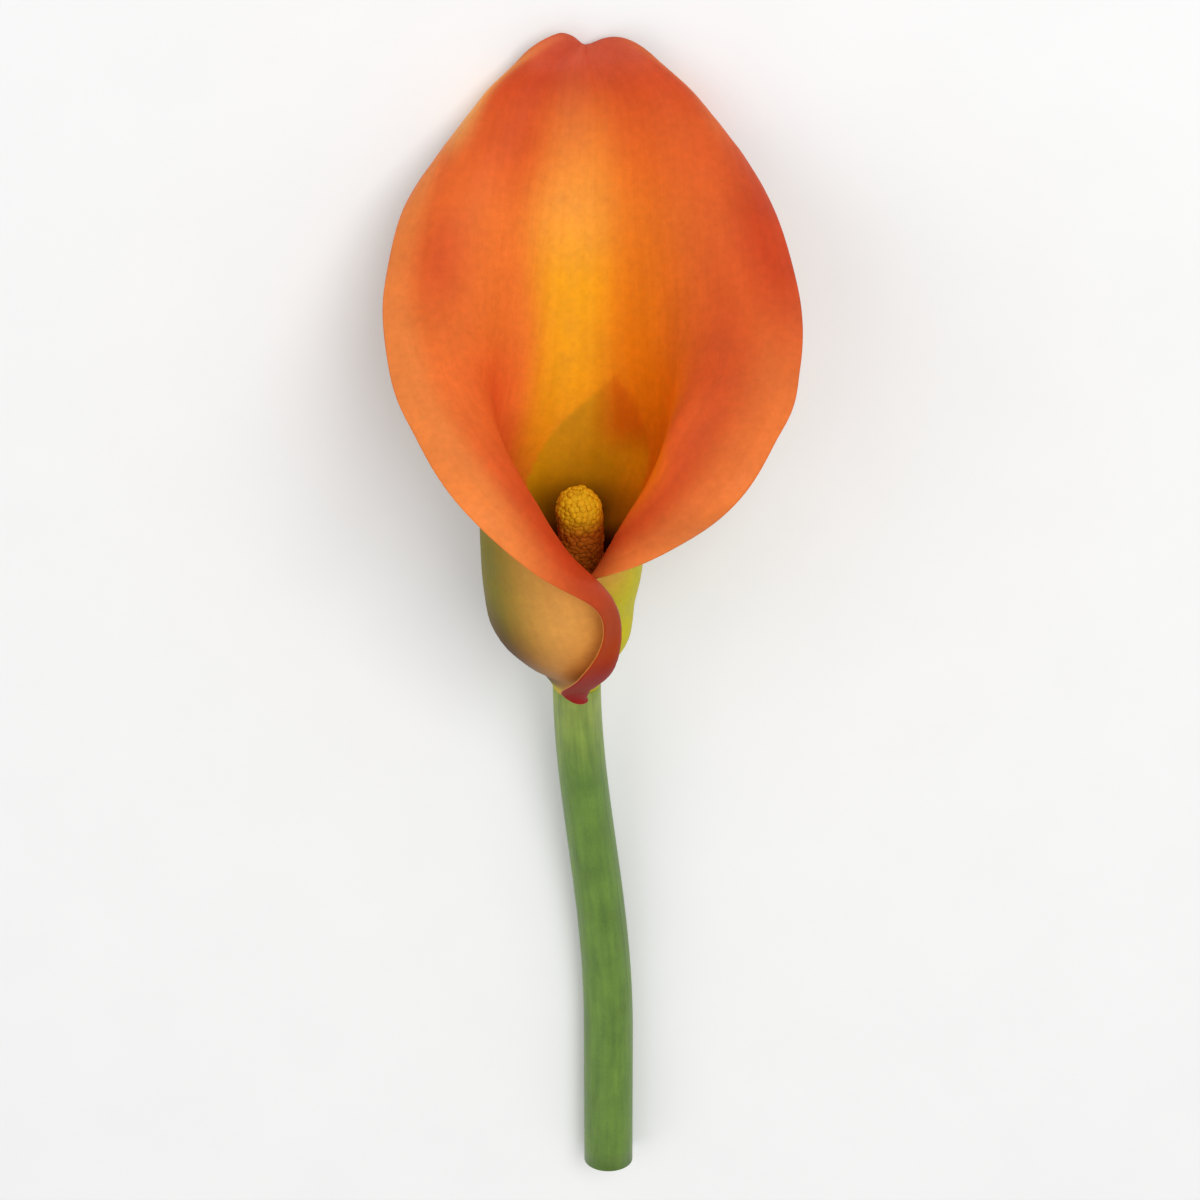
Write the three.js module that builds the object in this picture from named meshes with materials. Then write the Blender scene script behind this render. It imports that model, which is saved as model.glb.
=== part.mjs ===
// An arum lily flower, picked and laid on its back: one spathe rolled into a tube and
// flared into a wide blade, the spadix inside it with its two zones of florets, and the
// cut stem. Millimetres, +Z up; the flower points along +Y and its cut end lies at -Y.
// The origin is the bottom centre of the whole flower's box.
import * as THREE from 'three';
import { mergeVertices } from 'three/addons/utils/BufferGeometryUtils.js';

// ---------------------------------------------------------------- driving dimensions
const TUBE_RISE = 20;             // degrees between the tube's axis and the table
const FLOWER_ROLL = -1.05;        // degrees about +Y that bring both ears down to the table
const SEAT_GAP = 0.3;             // clearance where one piece sits on another
const TUBE_WALL = 1.3;            // spathe thickness along the midrib of the tube
const BLADE_WALL = 1.0;           // spathe thickness along the midrib of the blade
const EDGE_WALL = 0.7;            // spathe thickness at its free edge

const STEM_TOP_RADIUS = 3.9;      // corner radius of the stem under the spathe
const STEM_END_RADIUS = 4.4;      // corner radius of the stem where it lies on the table
const STEM_SIDES = 12;
const STEM_FLAT_LENGTH = 26;      // the straight stretch that lies on the table
const STEM_BOW = 5;               // sideways drift of the stem from the tube to the cut
const STEM_RINGS = 18;            // rings along the curved stretch
const HEADING_REACH = 0.5;        // the stem's direction is read this far to either side

const SPADIX_LEAN = 1.2;          // sideways bulge of the spadix's axis
const STIPE_RADIUS = 2.0;         // bare foot of the spadix
const FEMALE_START = 2.2;         // heights above the stem's top
const FEMALE_END = 11.2;
const FEMALE_FOOT_RADIUS = 2.2;
const FEMALE_TOP_RADIUS = 2.55;
const FEMALE_BUMP = 0.5;
const FEMALE_AROUND = 9;          // ovaries round the spadix
const FEMALE_ROWS = 6;
const FEMALE_RIM = 0.4;           // bare rim above and below the ovaries
const MALE_END = 39;
const MALE_RADIUS = 3.05;
const MALE_BUMP = 0.42;
const MALE_AROUND = 12;           // male florets round the spadix
const MALE_ROWS = 18;
const MALE_RIM = 0.4;             // bare rim below the male florets
const MALE_DOME = 3.66;           // length over which the tip rounds off
const TIP_CAP = 0.12;             // height of the cone that closes the tip
const WAIST = 0.1;                // how far the male zone thins towards its foot, as a share
const FLORET_COLUMNS = 4;         // mesh columns for each floret round the spadix
const FLORET_REACH = 0.6;         // radius of a floret's dome, in florets
const FULL_RELIEF_RADIUS = 2.4;   // a thinner ring has lower florets
const ROW_PITCH = 0.866;          // height of a staggered row, in florets

const BLADE_COLUMNS = 30;         // mesh columns on each side of the midrib
const COLUMN_CROWDING = 0.5;      // how much they crowd at the midrib and the margin
const SECTION_STEPS = 240;        // steps along half a cross-section
const BOW_ROUNDING = 0.12;        // the bow fades into the margin over this share
const CURL_LEAD = 0.07;           // the margin starts to curl this share before the bow ends
const SLOW_CURL = 1.5;            // exponent of the curl along the blade's margins
const TIGHT_CURL_SHARE = 0.6;     // over the tube the curl is done in this share of the margin
const TIGHT_CURL_TOP = 0.44;      // place where the tight curl over the tube has faded out
const TIGHT_CURL_FADE = 0.24;
const TUBE_WALL_FADE = 0.4;       // place where the tube's wall has thinned to the blade's
// Mesh rows from the base to the tip: [place where a stretch ends, rows in it]. They crowd
// where the two margins part and where the tip bends back.
const ROW_STRETCHES = [[0.24, 10], [0.4, 10], [0.86, 11], [1, 7]];

// The midrib: [place along it from base to tip, sideways, backwards, upwards, tilt of the
// cross-section in degrees], in the tube's own frame with +Z along the tube.
const MIDRIB = [
  [0.00, 0.3, 3.4, 0.0, 0],
  [0.04, 0.3, 4.2, 2.9, 0],
  [0.08, 0.2, 6.4, 5.9, 1],
  [0.12, 0.0, 9.0, 9.3, 3],
  [0.17, -0.2, 11.2, 14.0, 6],
  [0.22, -0.2, 12.2, 19.2, 9],
  [0.27, 0.0, 12.8, 24.4, 13],
  [0.32, 0.3, 13.6, 29.5, 19],
  [0.37, 0.6, 15.0, 34.5, 26],
  [0.43, 1.0, 17.4, 40.5, 32],
  [0.50, 1.3, 20.5, 47.0, 35],
  [0.60, 1.6, 26.3, 56.8, 36],
  [0.70, 1.7, 32.6, 66.8, 37],
  [0.78, 2.1, 37.9, 74.4, 38],
  [0.86, 2.0, 42.5, 81.7, 46],
  [0.92, 1.3, 45.5, 85.1, 58],
  [0.96, 1.3, 47.2, 86.9, 74],
  [1.00, 1.2, 48.6, 86.3, 88],
];

// Each half of the spathe's cross-section: [place along the midrib, length of the part
// that bows forward round the throat, degrees it turns, length of the margin beyond it,
// degrees the margin curls back]. The left half wraps outside the right one over the tube,
// and above the throat the right half is a little wider.
const LEFT_HALF = [
  [0.00, 11.4, 185, 0.3, 0],
  [0.04, 15.6, 195, 3.4, 130],
  [0.08, 22.6, 200, 5.6, 180],
  [0.12, 34.0, 205, 6.6, 190],
  [0.17, 46.4, 214, 6.6, 184],
  [0.22, 51.0, 220, 3.0, 170],
  [0.27, 50.0, 209, 3.9, 158],
  [0.32, 42.6, 175, 11.3, 152],
  [0.37, 33.0, 141, 20.3, 138],
  [0.43, 24.6, 107, 20.3, 127],
  [0.50, 19.7, 79, 18.8, 103],
  [0.60, 15.4, 55, 19.1, 94],
  [0.70, 12.9, 45, 17.9, 96],
  [0.78, 10.2, 40, 17.4, 133],
  [0.86, 7.5, 29, 14.4, 159],
  [0.92, 5.5, 32, 6.7, 119],
  [0.96, 1.9, 68, 3.2, 61],
  [1.00, 0.4, 20, 0.4, 10],
];
const RIGHT_HALF = [
  [0.00, 8.2, 150, 0.2, 0],
  [0.04, 11.4, 160, 0.2, 0],
  [0.08, 16.9, 168, 0.2, 0],
  [0.12, 24.3, 174, 0.2, 0],
  [0.17, 27.4, 176, 0.6, 0],
  [0.22, 30.0, 172, 0.8, 0],
  [0.27, 29.2, 160, 3.6, 45],
  [0.32, 28.7, 143, 12.9, 130],
  [0.37, 28.1, 121, 23.3, 125],
  [0.43, 24.2, 100, 25.9, 127],
  [0.50, 19.8, 78, 23.7, 104],
  [0.60, 16.4, 55, 20.3, 92],
  [0.70, 13.3, 45, 18.8, 105],
  [0.78, 10.3, 37, 18.0, 136],
  [0.86, 7.3, 28, 15.1, 162],
  [0.92, 5.9, 27, 8.2, 121],
  [0.96, 2.7, 45, 3.5, 63],
  [1.00, 0.4, 20, 0.4, 10],
];

// ---------------------------------------------------------------- small helpers
const radians = (degrees) => (degrees * Math.PI) / 180;
const clamp = (value, low, high) => Math.min(high, Math.max(low, value));
const lerp = (a, b, t) => a + (b - a) * t;

// A smooth curve through the given keys, read at one place; column picks the quantity.
function readKeys(keys, place, column) {
  const last = keys.length - 1;
  const at = clamp(place, keys[0][0], keys[last][0]);
  let i = 0;
  while (i < last - 1 && at > keys[i + 1][0]) i += 1;
  const span = (k) => keys[k + 1][0] - keys[k][0];
  const slope = (k) => (keys[k + 1][column] - keys[k][column]) / span(k);
  const tangent = (k) => {
    if (k === 0) return slope(0);
    if (k === last) return slope(last - 1);
    return (slope(k - 1) * span(k) + slope(k) * span(k - 1)) / (span(k - 1) + span(k));
  };
  const width = span(i);
  const t = (at - keys[i][0]) / width;
  const stay = 2 * t ** 3 - 3 * t ** 2 + 1;
  return stay * keys[i][column] + (1 - stay) * keys[i + 1][column]
    + width * ((t ** 3 - 2 * t ** 2 + t) * tangent(i) + (t ** 3 - t ** 2) * tangent(i + 1));
}

// A ramp that rises to 1 and rounds off smoothly as it gets there.
function softRamp(value) {
  if (value < 1 - BOW_ROUNDING) return value;
  if (value > 1 + BOW_ROUNDING) return 1;
  return 1 - (1 + BOW_ROUNDING - value) ** 2 / (4 * BOW_ROUNDING);
}

const smoothStep = (t) => t * t * (3 - 2 * t);

// Places from 0 to 1 that crowd towards both ends.
function crowdedEnds(step, steps, crowding) {
  const q = step / steps;
  return q - (crowding * Math.sin(2 * Math.PI * q)) / (2 * Math.PI);
}

// One closed geometry from a list of points and triangles.
function meshFrom(points, triangles) {
  const geometry = new THREE.BufferGeometry();
  geometry.setAttribute('position', new THREE.Float32BufferAttribute(points.flat(), 3));
  geometry.setIndex(triangles.flat());
  return mergeVertices(geometry, 1e-4);
}

function namedMesh(name, geometry, color, roughness) {
  geometry.computeVertexNormals();
  const material = new THREE.MeshStandardMaterial({ color, roughness, metalness: 0 });
  const mesh = new THREE.Mesh(geometry, material);
  mesh.name = name;
  return mesh;
}

// ---------------------------------------------------------------- the spathe
// Half a cross-section: points [outward, forward] at the given shares of its length.
function halfSection(keys, place, shares) {
  const bow = readKeys(keys, place, 1);
  const turn = radians(readKeys(keys, place, 2));
  const margin = readKeys(keys, place, 3);
  const curl = radians(readKeys(keys, place, 4));
  const length = bow + margin;
  const bowShare = bow / length;
  const curlStart = Math.max(0, bowShare - CURL_LEAD);
  const tightness = smoothStep(clamp((TIGHT_CURL_TOP - place) / TIGHT_CURL_FADE, 0, 1));
  const direction = (share) => {
    const q = clamp((share - curlStart) / (1 - curlStart), 0, 1);
    const tight = smoothStep(clamp(q / TIGHT_CURL_SHARE, 0, 1));
    const curled = lerp(q ** SLOW_CURL, tight, tightness);
    return turn * softRamp(share / bowShare) - curl * curled;
  };
  const steps = SECTION_STEPS;
  const points = [];
  let outward = 0;
  let forward = 0;
  let next = 0;
  for (let k = 0; k <= steps && next < shares.length; k += 1) {
    while (next < shares.length && shares[next] * steps <= k + 1e-9) {
      points.push([outward, forward]);
      next += 1;
    }
    const middle = direction((k + 0.5) / steps);
    outward += (Math.cos(middle) * length) / steps;
    forward += (Math.sin(middle) * length) / steps;
  }
  return points;
}

// The places of the mesh rows along the midrib.
function rowPlaces() {
  const places = [0];
  for (const [end, count] of ROW_STRETCHES) {
    const start = places[places.length - 1];
    for (let k = 1; k <= count; k += 1) places.push(lerp(start, end, k / count));
  }
  return places;
}

// The spathe's middle surface as rows of points, from the left edge to the right edge.
function spatheSurface() {
  const rows = [];
  const shares = [];
  for (let j = 0; j <= BLADE_COLUMNS; j += 1) {
    shares.push(crowdedEnds(j, BLADE_COLUMNS, COLUMN_CROWDING));
  }
  for (const place of rowPlaces()) {
    const [sideways, back, up] = [1, 2, 3].map((column) => readKeys(MIDRIB, place, column));
    const tilt = radians(readKeys(MIDRIB, place, 4));
    const put = (side) => ([outward, forward]) => new THREE.Vector3(
      sideways + side * outward,
      back - forward * Math.cos(tilt),
      up + forward * Math.sin(tilt),
    );
    const left = halfSection(LEFT_HALF, place, shares);
    const right = halfSection(RIGHT_HALF, place, shares);
    const row = [...left.map(put(-1)).reverse(), ...right.slice(1).map(put(1))];
    rows.push({ place, points: row });
  }
  return rows;
}

// The spathe as a thin closed shell: the middle surface moved half its thickness both ways.
function spatheGeometry() {
  const rows = spatheSurface();
  const columns = rows[0].points.length;
  const points = [];
  const layers = [1, -1].map((side) => rows.map(({ place, points: row }, i) => row.map((p, j) => {
    const acrossRow = new THREE.Vector3().subVectors(
      row[Math.min(j + 1, columns - 1)], row[Math.max(j - 1, 0)],
    );
    const alongMidrib = new THREE.Vector3().subVectors(
      rows[Math.min(i + 1, rows.length - 1)].points[j], rows[Math.max(i - 1, 0)].points[j],
    );
    const inward = new THREE.Vector3().crossVectors(acrossRow, alongMidrib);
    if (i === 0) inward.z = 0;                 // the base ring stays flat on the stem
    inward.normalize();
    const fromMidrib = Math.abs(j - BLADE_COLUMNS) / BLADE_COLUMNS;
    const midribWall = lerp(TUBE_WALL, BLADE_WALL, clamp(place / TUBE_WALL_FADE, 0, 1));
    const wall = lerp(midribWall, EDGE_WALL, fromMidrib ** 2);
    const moved = p.clone().addScaledVector(inward, (side * wall) / 2);
    points.push([moved.x, moved.y, moved.z + SEAT_GAP]);
    return points.length - 1;
  })));
  const triangles = [];
  const quad = (a, b, c, d) => triangles.push([a, b, c], [a, c, d]);
  const middle = (i, j) => rows[i].points[j];
  const risingIsShort = (i, j) => middle(i, j).distanceTo(middle(i + 1, j + 1))
    < middle(i, j + 1).distanceTo(middle(i + 1, j));
  const [inner, outer] = layers;
  const lastRow = rows.length - 1;
  const lastColumn = columns - 1;
  for (let i = 0; i < lastRow; i += 1) {
    for (let j = 0; j < lastColumn; j += 1) {
      // both faces are split along the same, shorter diagonal
      for (const [layer, flip] of [[inner, false], [outer, true]]) {
        const corners = [layer[i][j], layer[i][j + 1], layer[i + 1][j + 1], layer[i + 1][j]];
        if (!risingIsShort(i, j)) corners.push(corners.shift());
        if (flip) corners.splice(0, 4, corners[0], corners[3], corners[2], corners[1]);
        quad(...corners);
      }
    }
    quad(inner[i][0], inner[i + 1][0], outer[i + 1][0], outer[i][0]);
    quad(inner[i][lastColumn], outer[i][lastColumn], outer[i + 1][lastColumn], inner[i + 1][lastColumn]);
  }
  for (let j = 0; j < lastColumn; j += 1) {
    quad(inner[0][j], outer[0][j], outer[0][j + 1], inner[0][j + 1]);
    quad(inner[lastRow][j], inner[lastRow][j + 1], outer[lastRow][j + 1], outer[lastRow][j]);
  }
  return meshFrom(points, triangles);
}

// ---------------------------------------------------------------- the spadix
// The axis of the spadix bulges a little to one side between its foot and its tip.
const spadixShift = (height) => SPADIX_LEAN * Math.sin((Math.PI * 0.8 * height) / MALE_END);

// Dome-shaped relief of florets packed in staggered rows: 1 at a floret's middle, 0 between.
function floretRelief(around, row) {
  const nearest = (offset) => {
    const r = Math.round(row) + offset;
    const stagger = (((r % 2) + 2) % 2) / 2;
    const sideStep = around - stagger;
    const dx = sideStep - Math.round(sideStep);
    const dy = (row - r) * ROW_PITCH;
    return Math.hypot(dx, dy);
  };
  const distance = Math.min(nearest(-1), nearest(0), nearest(1));
  return Math.sqrt(Math.max(0, 1 - (distance / FLORET_REACH) ** 2));
}

// A zone of florets: rings of points round the spadix, closed by a flat or a domed end.
function floretZone({ foot, rings, around, bump }) {
  const columns = around * FLORET_COLUMNS;
  const points = [];
  const triangles = [];
  const rows = rings.map(({ height, radius, row }) => {
    const ring = [];
    for (let k = 0; k < columns; k += 1) {
      const angle = (2 * Math.PI * k) / columns;
      const relief = row === null ? 0 : bump * floretRelief(k / FLORET_COLUMNS, row);
      const reach = radius + relief * Math.min(1, radius / FULL_RELIEF_RADIUS);
      ring.push(points.length);
      points.push([
        spadixShift(height) + reach * Math.cos(angle),
        reach * Math.sin(angle),
        height,
      ]);
    }
    return ring;
  });
  for (let i = 0; i + 1 < rows.length; i += 1) {
    for (let k = 0; k < columns; k += 1) {
      const n = (k + 1) % columns;
      triangles.push([rows[i][k], rows[i][n], rows[i + 1][n]]);
      triangles.push([rows[i][k], rows[i + 1][n], rows[i + 1][k]]);
    }
  }
  const cap = (ring, height, up) => {
    const middle = points.length;
    points.push([spadixShift(height), 0, height]);
    for (let k = 0; k < columns; k += 1) {
      const n = (k + 1) % columns;
      triangles.push(up ? [ring[k], ring[n], middle] : [ring[n], ring[k], middle]);
    }
  };
  cap(rows[0], foot, false);
  cap(rows[rows.length - 1], rings[rings.length - 1].capHeight, true);
  return meshFrom(points, triangles);
}

// The ovaries at the foot of the spadix, on its bare stipe.
function femaleZone() {
  const rings = [
    { height: SEAT_GAP, radius: STIPE_RADIUS, row: null },
    { height: FEMALE_START, radius: STIPE_RADIUS, row: null },
  ];
  const steps = FEMALE_ROWS * 2;
  for (let s = 0; s <= steps; s += 1) {
    const height = lerp(FEMALE_START + FEMALE_RIM, FEMALE_END - FEMALE_RIM, s / steps);
    const radius = lerp(FEMALE_FOOT_RADIUS, FEMALE_TOP_RADIUS, s / steps);
    rings.push({ height, radius, row: s / 2 });
  }
  rings.push({ height: FEMALE_END, radius: STIPE_RADIUS, row: null, capHeight: FEMALE_END });
  return floretZone({ foot: SEAT_GAP, rings, around: FEMALE_AROUND, bump: FEMALE_BUMP });
}

// The pollen-bearing florets, up to the rounded tip of the spadix.
function maleZone() {
  const foot = FEMALE_END + SEAT_GAP;
  const rings = [{ height: foot, radius: STIPE_RADIUS, row: null }];
  const steps = MALE_ROWS * 2;
  for (let s = 0; s <= steps; s += 1) {
    const height = lerp(foot + MALE_RIM, MALE_END - TIP_CAP, s / steps);
    const intoDome = clamp(1 - (MALE_END - height) / MALE_DOME, 0, 1);
    const swell = 1 - WAIST * Math.cos((Math.PI * (height - foot)) / (MALE_END - foot));
    rings.push({ height, radius: MALE_RADIUS * swell * Math.sqrt(1 - intoDome ** 2), row: s / 2 });
  }
  rings[rings.length - 1].capHeight = MALE_END;
  return floretZone({ foot, rings, around: MALE_AROUND, bump: MALE_BUMP });
}

// ---------------------------------------------------------------- the stem
// The stem leaves the tube along its axis, sinks in one arc to the table and lies straight.
function stemGeometry(tableDrop) {
  const rise = radians(TUBE_RISE);
  const flatHalf = Math.cos(Math.PI / STEM_SIDES);
  const drop = tableDrop - STEM_END_RADIUS * flatHalf;
  const arcRadius = drop / (1 - Math.cos(rise));
  const arcLength = arcRadius * rise;
  const length = arcLength + STEM_FLAT_LENGTH;
  const onAxis = (along) => {
    const onArc = Math.min(along, arcLength);
    const turned = rise - onArc / arcRadius;
    const straight = along - onArc;
    return new THREE.Vector3(
      (STEM_BOW * (1 - Math.cos((Math.PI * onArc) / arcLength))) / 2,
      -arcRadius * (Math.sin(rise) - Math.sin(turned)) - straight,
      -drop + arcRadius * (1 - Math.cos(turned)),
    );
  };
  const stations = [];
  for (let i = 0; i <= STEM_RINGS; i += 1) stations.push((arcLength * i) / STEM_RINGS);
  stations.push(length);
  const points = [];
  const rings = stations.map((along, i) => {
    const centre = onAxis(along);
    const ahead = onAxis(Math.min(length, along + HEADING_REACH));
    const behind = onAxis(Math.max(0, along - HEADING_REACH));
    const heading = ahead.sub(behind).normalize();
    if (i === 0) heading.set(0, -Math.cos(rise), -Math.sin(rise));
    const side = new THREE.Vector3(0, 0, 1).cross(heading).normalize();
    const up = new THREE.Vector3().crossVectors(heading, side);
    const radius = lerp(STEM_TOP_RADIUS, STEM_END_RADIUS, Math.min(1, along / arcLength));
    const ring = [];
    for (let k = 0; k < STEM_SIDES; k += 1) {
      const angle = (2 * Math.PI * (k + 0.5)) / STEM_SIDES;
      const corner = centre.clone()
        .addScaledVector(side, radius * Math.sin(angle))
        .addScaledVector(up, -radius * Math.cos(angle));
      ring.push(points.length);
      points.push(corner.toArray());
    }
    return ring;
  });
  const triangles = [];
  const last = rings.length - 1;
  for (let i = 0; i < last; i += 1) {
    for (let k = 0; k < STEM_SIDES; k += 1) {
      const n = (k + 1) % STEM_SIDES;
      triangles.push([rings[i][k], rings[i + 1][n], rings[i + 1][k]]);
      triangles.push([rings[i][k], rings[i][n], rings[i + 1][n]]);
    }
  }
  for (let k = 1; k + 1 < STEM_SIDES; k += 1) {
    triangles.push([rings[0][0], rings[0][k + 1], rings[0][k]]);
    triangles.push([rings[last][0], rings[last][k], rings[last][k + 1]]);
  }
  return meshFrom(points, triangles);
}

// ---------------------------------------------------------------- the whole flower
const flower = new THREE.Group();
flower.rotation.set(radians(TUBE_RISE - 90), radians(FLOWER_ROLL), 0, 'YXZ');
flower.add(
  namedMesh('spathe', spatheGeometry(), 0xe2683a, 0.5),
  namedMesh('spadix_female_zone', femaleZone(), 0x9aa24a, 0.6),
  namedMesh('spadix_male_zone', maleZone(), 0xc3890a, 0.7),
);
flower.updateMatrixWorld(true);
const lowest = new THREE.Box3().setFromObject(flower, true).min.z;
const stem = namedMesh('stem', stemGeometry(-lowest), 0x6a8629, 0.5);

const lily = new THREE.Group();
lily.add(flower, stem);
lily.updateMatrixWorld(true);
const box = new THREE.Box3().setFromObject(lily, true);
lily.position.set(-(box.min.x + box.max.x) / 2, -(box.min.y + box.max.y) / 2, -box.min.z);
lily.updateMatrixWorld(true);

export default lily;
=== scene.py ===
# %% [markdown]
# # A picked arum lily
#
# An arum lily's flower is simpler than it looks. What seems to be one big petal is a spathe: a
# single waxy leaf, rolled into a tube at its foot and flared into a wide blade above, with its
# left margin wrapped over the right one and folded back. Inside stands the spadix, a finger
# covered in tiny florets, and everything sits on one fleshy stalk. Here the flower has been
# picked and lies on its back on a table, with its throat open to the viewer.
#
# The construction model gives the true size and place of each of these pieces, so the first
# step is to load it. The finished flower must not outgrow it.

# %% Load the construction model
import math
import random

import bpy
import numpy as np
from mathutils import Matrix, Vector


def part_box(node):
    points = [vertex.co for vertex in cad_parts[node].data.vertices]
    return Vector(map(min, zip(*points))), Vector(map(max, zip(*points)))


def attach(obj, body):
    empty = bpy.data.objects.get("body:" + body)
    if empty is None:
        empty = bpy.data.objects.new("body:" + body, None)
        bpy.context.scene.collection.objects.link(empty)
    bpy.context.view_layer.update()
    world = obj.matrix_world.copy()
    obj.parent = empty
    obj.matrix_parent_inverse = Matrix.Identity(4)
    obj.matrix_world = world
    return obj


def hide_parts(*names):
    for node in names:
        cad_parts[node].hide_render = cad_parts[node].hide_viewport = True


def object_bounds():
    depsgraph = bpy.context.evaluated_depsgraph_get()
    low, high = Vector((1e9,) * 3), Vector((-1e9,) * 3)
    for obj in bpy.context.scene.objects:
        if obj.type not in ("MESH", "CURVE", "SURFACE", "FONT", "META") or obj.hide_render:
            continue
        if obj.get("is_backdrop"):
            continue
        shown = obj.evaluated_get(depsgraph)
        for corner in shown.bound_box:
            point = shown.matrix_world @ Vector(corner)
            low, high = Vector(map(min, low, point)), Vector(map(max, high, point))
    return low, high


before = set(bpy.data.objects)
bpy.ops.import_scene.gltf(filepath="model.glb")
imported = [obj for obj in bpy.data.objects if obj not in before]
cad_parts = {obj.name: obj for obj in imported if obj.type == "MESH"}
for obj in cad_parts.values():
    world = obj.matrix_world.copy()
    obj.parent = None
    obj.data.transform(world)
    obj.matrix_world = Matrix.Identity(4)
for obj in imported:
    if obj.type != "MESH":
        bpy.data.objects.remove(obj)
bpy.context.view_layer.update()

print("construction model:", sorted(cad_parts))

# %% [markdown]
# ## A few habits
#
# Operators act on whatever is selected, and the construction model arrives selected. So each
# step first selects only its own piece. Soft climbs and hills, and curves through a few values,
# come up again and again on a flower, so they get helpers too. Plants are measured in
# millimetres, and one factor turns them into Blender's metres.

# %% Helpers for selecting, reading curves and shaping
MM = 0.001


def pick_up(*pieces):
    """Selects only these pieces and makes the first one active."""
    bpy.ops.object.select_all(action="DESELECT")
    for piece in pieces:
        piece.select_set(True)
    bpy.context.view_layer.objects.active = pieces[0]


def start_from(primitive, name, **settings):
    """Adds a primitive, alone in the selection, and names it."""
    bpy.ops.object.select_all(action="DESELECT")
    primitive(**settings)
    piece = bpy.context.object
    piece.name = name
    return piece


def points_of(piece):
    """Where a piece's vertices are, in metres."""
    return np.array([vertex.co for vertex in piece.data.vertices])


def save_mask(piece, name, values):
    """Saves a number for each vertex, under a name that a material can read."""
    mask = piece.data.attributes.new(name, "FLOAT", "POINT")
    mask.data.foreach_set("value", values)


def smooth(t):
    """0 below 0, 1 above 1 and a soft S between."""
    t = np.clip(t, 0, 1)
    return t * t * (3 - 2 * t)


def rise(value, low, high):
    """Climbs softly from 0 at low to 1 at high; falls where low is above high."""
    return smooth((value - low) / (high - low))


def plateau(value, start, full, fading, end):
    """Climbs softly from 0 at start to 1 at full, and falls again from fading to end."""
    return rise(value, start, full) * rise(value, end, fading)


def hill(value, middle, width):
    """A soft bump that is 1 at its middle."""
    return np.exp(-(((value - middle) / width) ** 2))


def read_keys(keys, place, column):
    """A smooth curve through keys [place, a, b, ...]; column picks the quantity."""
    last = len(keys) - 1
    at = min(max(place, keys[0][0]), keys[last][0])
    i = 0
    while i < last - 1 and at > keys[i + 1][0]:
        i += 1

    def span(k):
        return keys[k + 1][0] - keys[k][0]

    def slope(k):
        return (keys[k + 1][column] - keys[k][column]) / span(k)

    def tangent(k):
        if k == 0:
            return slope(0)
        if k == last:
            return slope(last - 1)
        return (slope(k - 1) * span(k) + slope(k) * span(k - 1)) / (span(k - 1) + span(k))

    t = (at - keys[i][0]) / span(i)
    stay = 2 * t**3 - 3 * t**2 + 1
    bend = (t**3 - 2 * t**2 + t) * tangent(i) + (t**3 - t**2) * tangent(i + 1)
    return stay * keys[i][column] + (1 - stay) * keys[i + 1][column] + span(i) * bend


# %% [markdown]
# ## How the flower lies
#
# The tube rises from the table by 20 degrees, so the flower gets its own frame: the tube runs
# up its Z axis, the throat opens towards -Y. Turning that frame by the tube's rise, and by a
# small roll that brings both ears of the blade down to the table, lays the flower down. The
# stalk is worked out from the same numbers later on.

# %% The flower's own frame
TUBE_RISE = math.radians(20)
FLOWER_ROLL = math.radians(-1.05)
lay_down = (
    Matrix.Rotation(FLOWER_ROLL, 4, "Y") @ Matrix.Rotation(TUBE_RISE - math.pi / 2, 4, "X")
)


def laid_down(points):
    """Points of the flower's own frame, turned as the flower lies (not yet moved)."""
    return points @ np.array(lay_down.to_3x3()).T


print("the flower's tube points along", tuple(round(c, 3) for c in lay_down.col[2][:3]))
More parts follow.
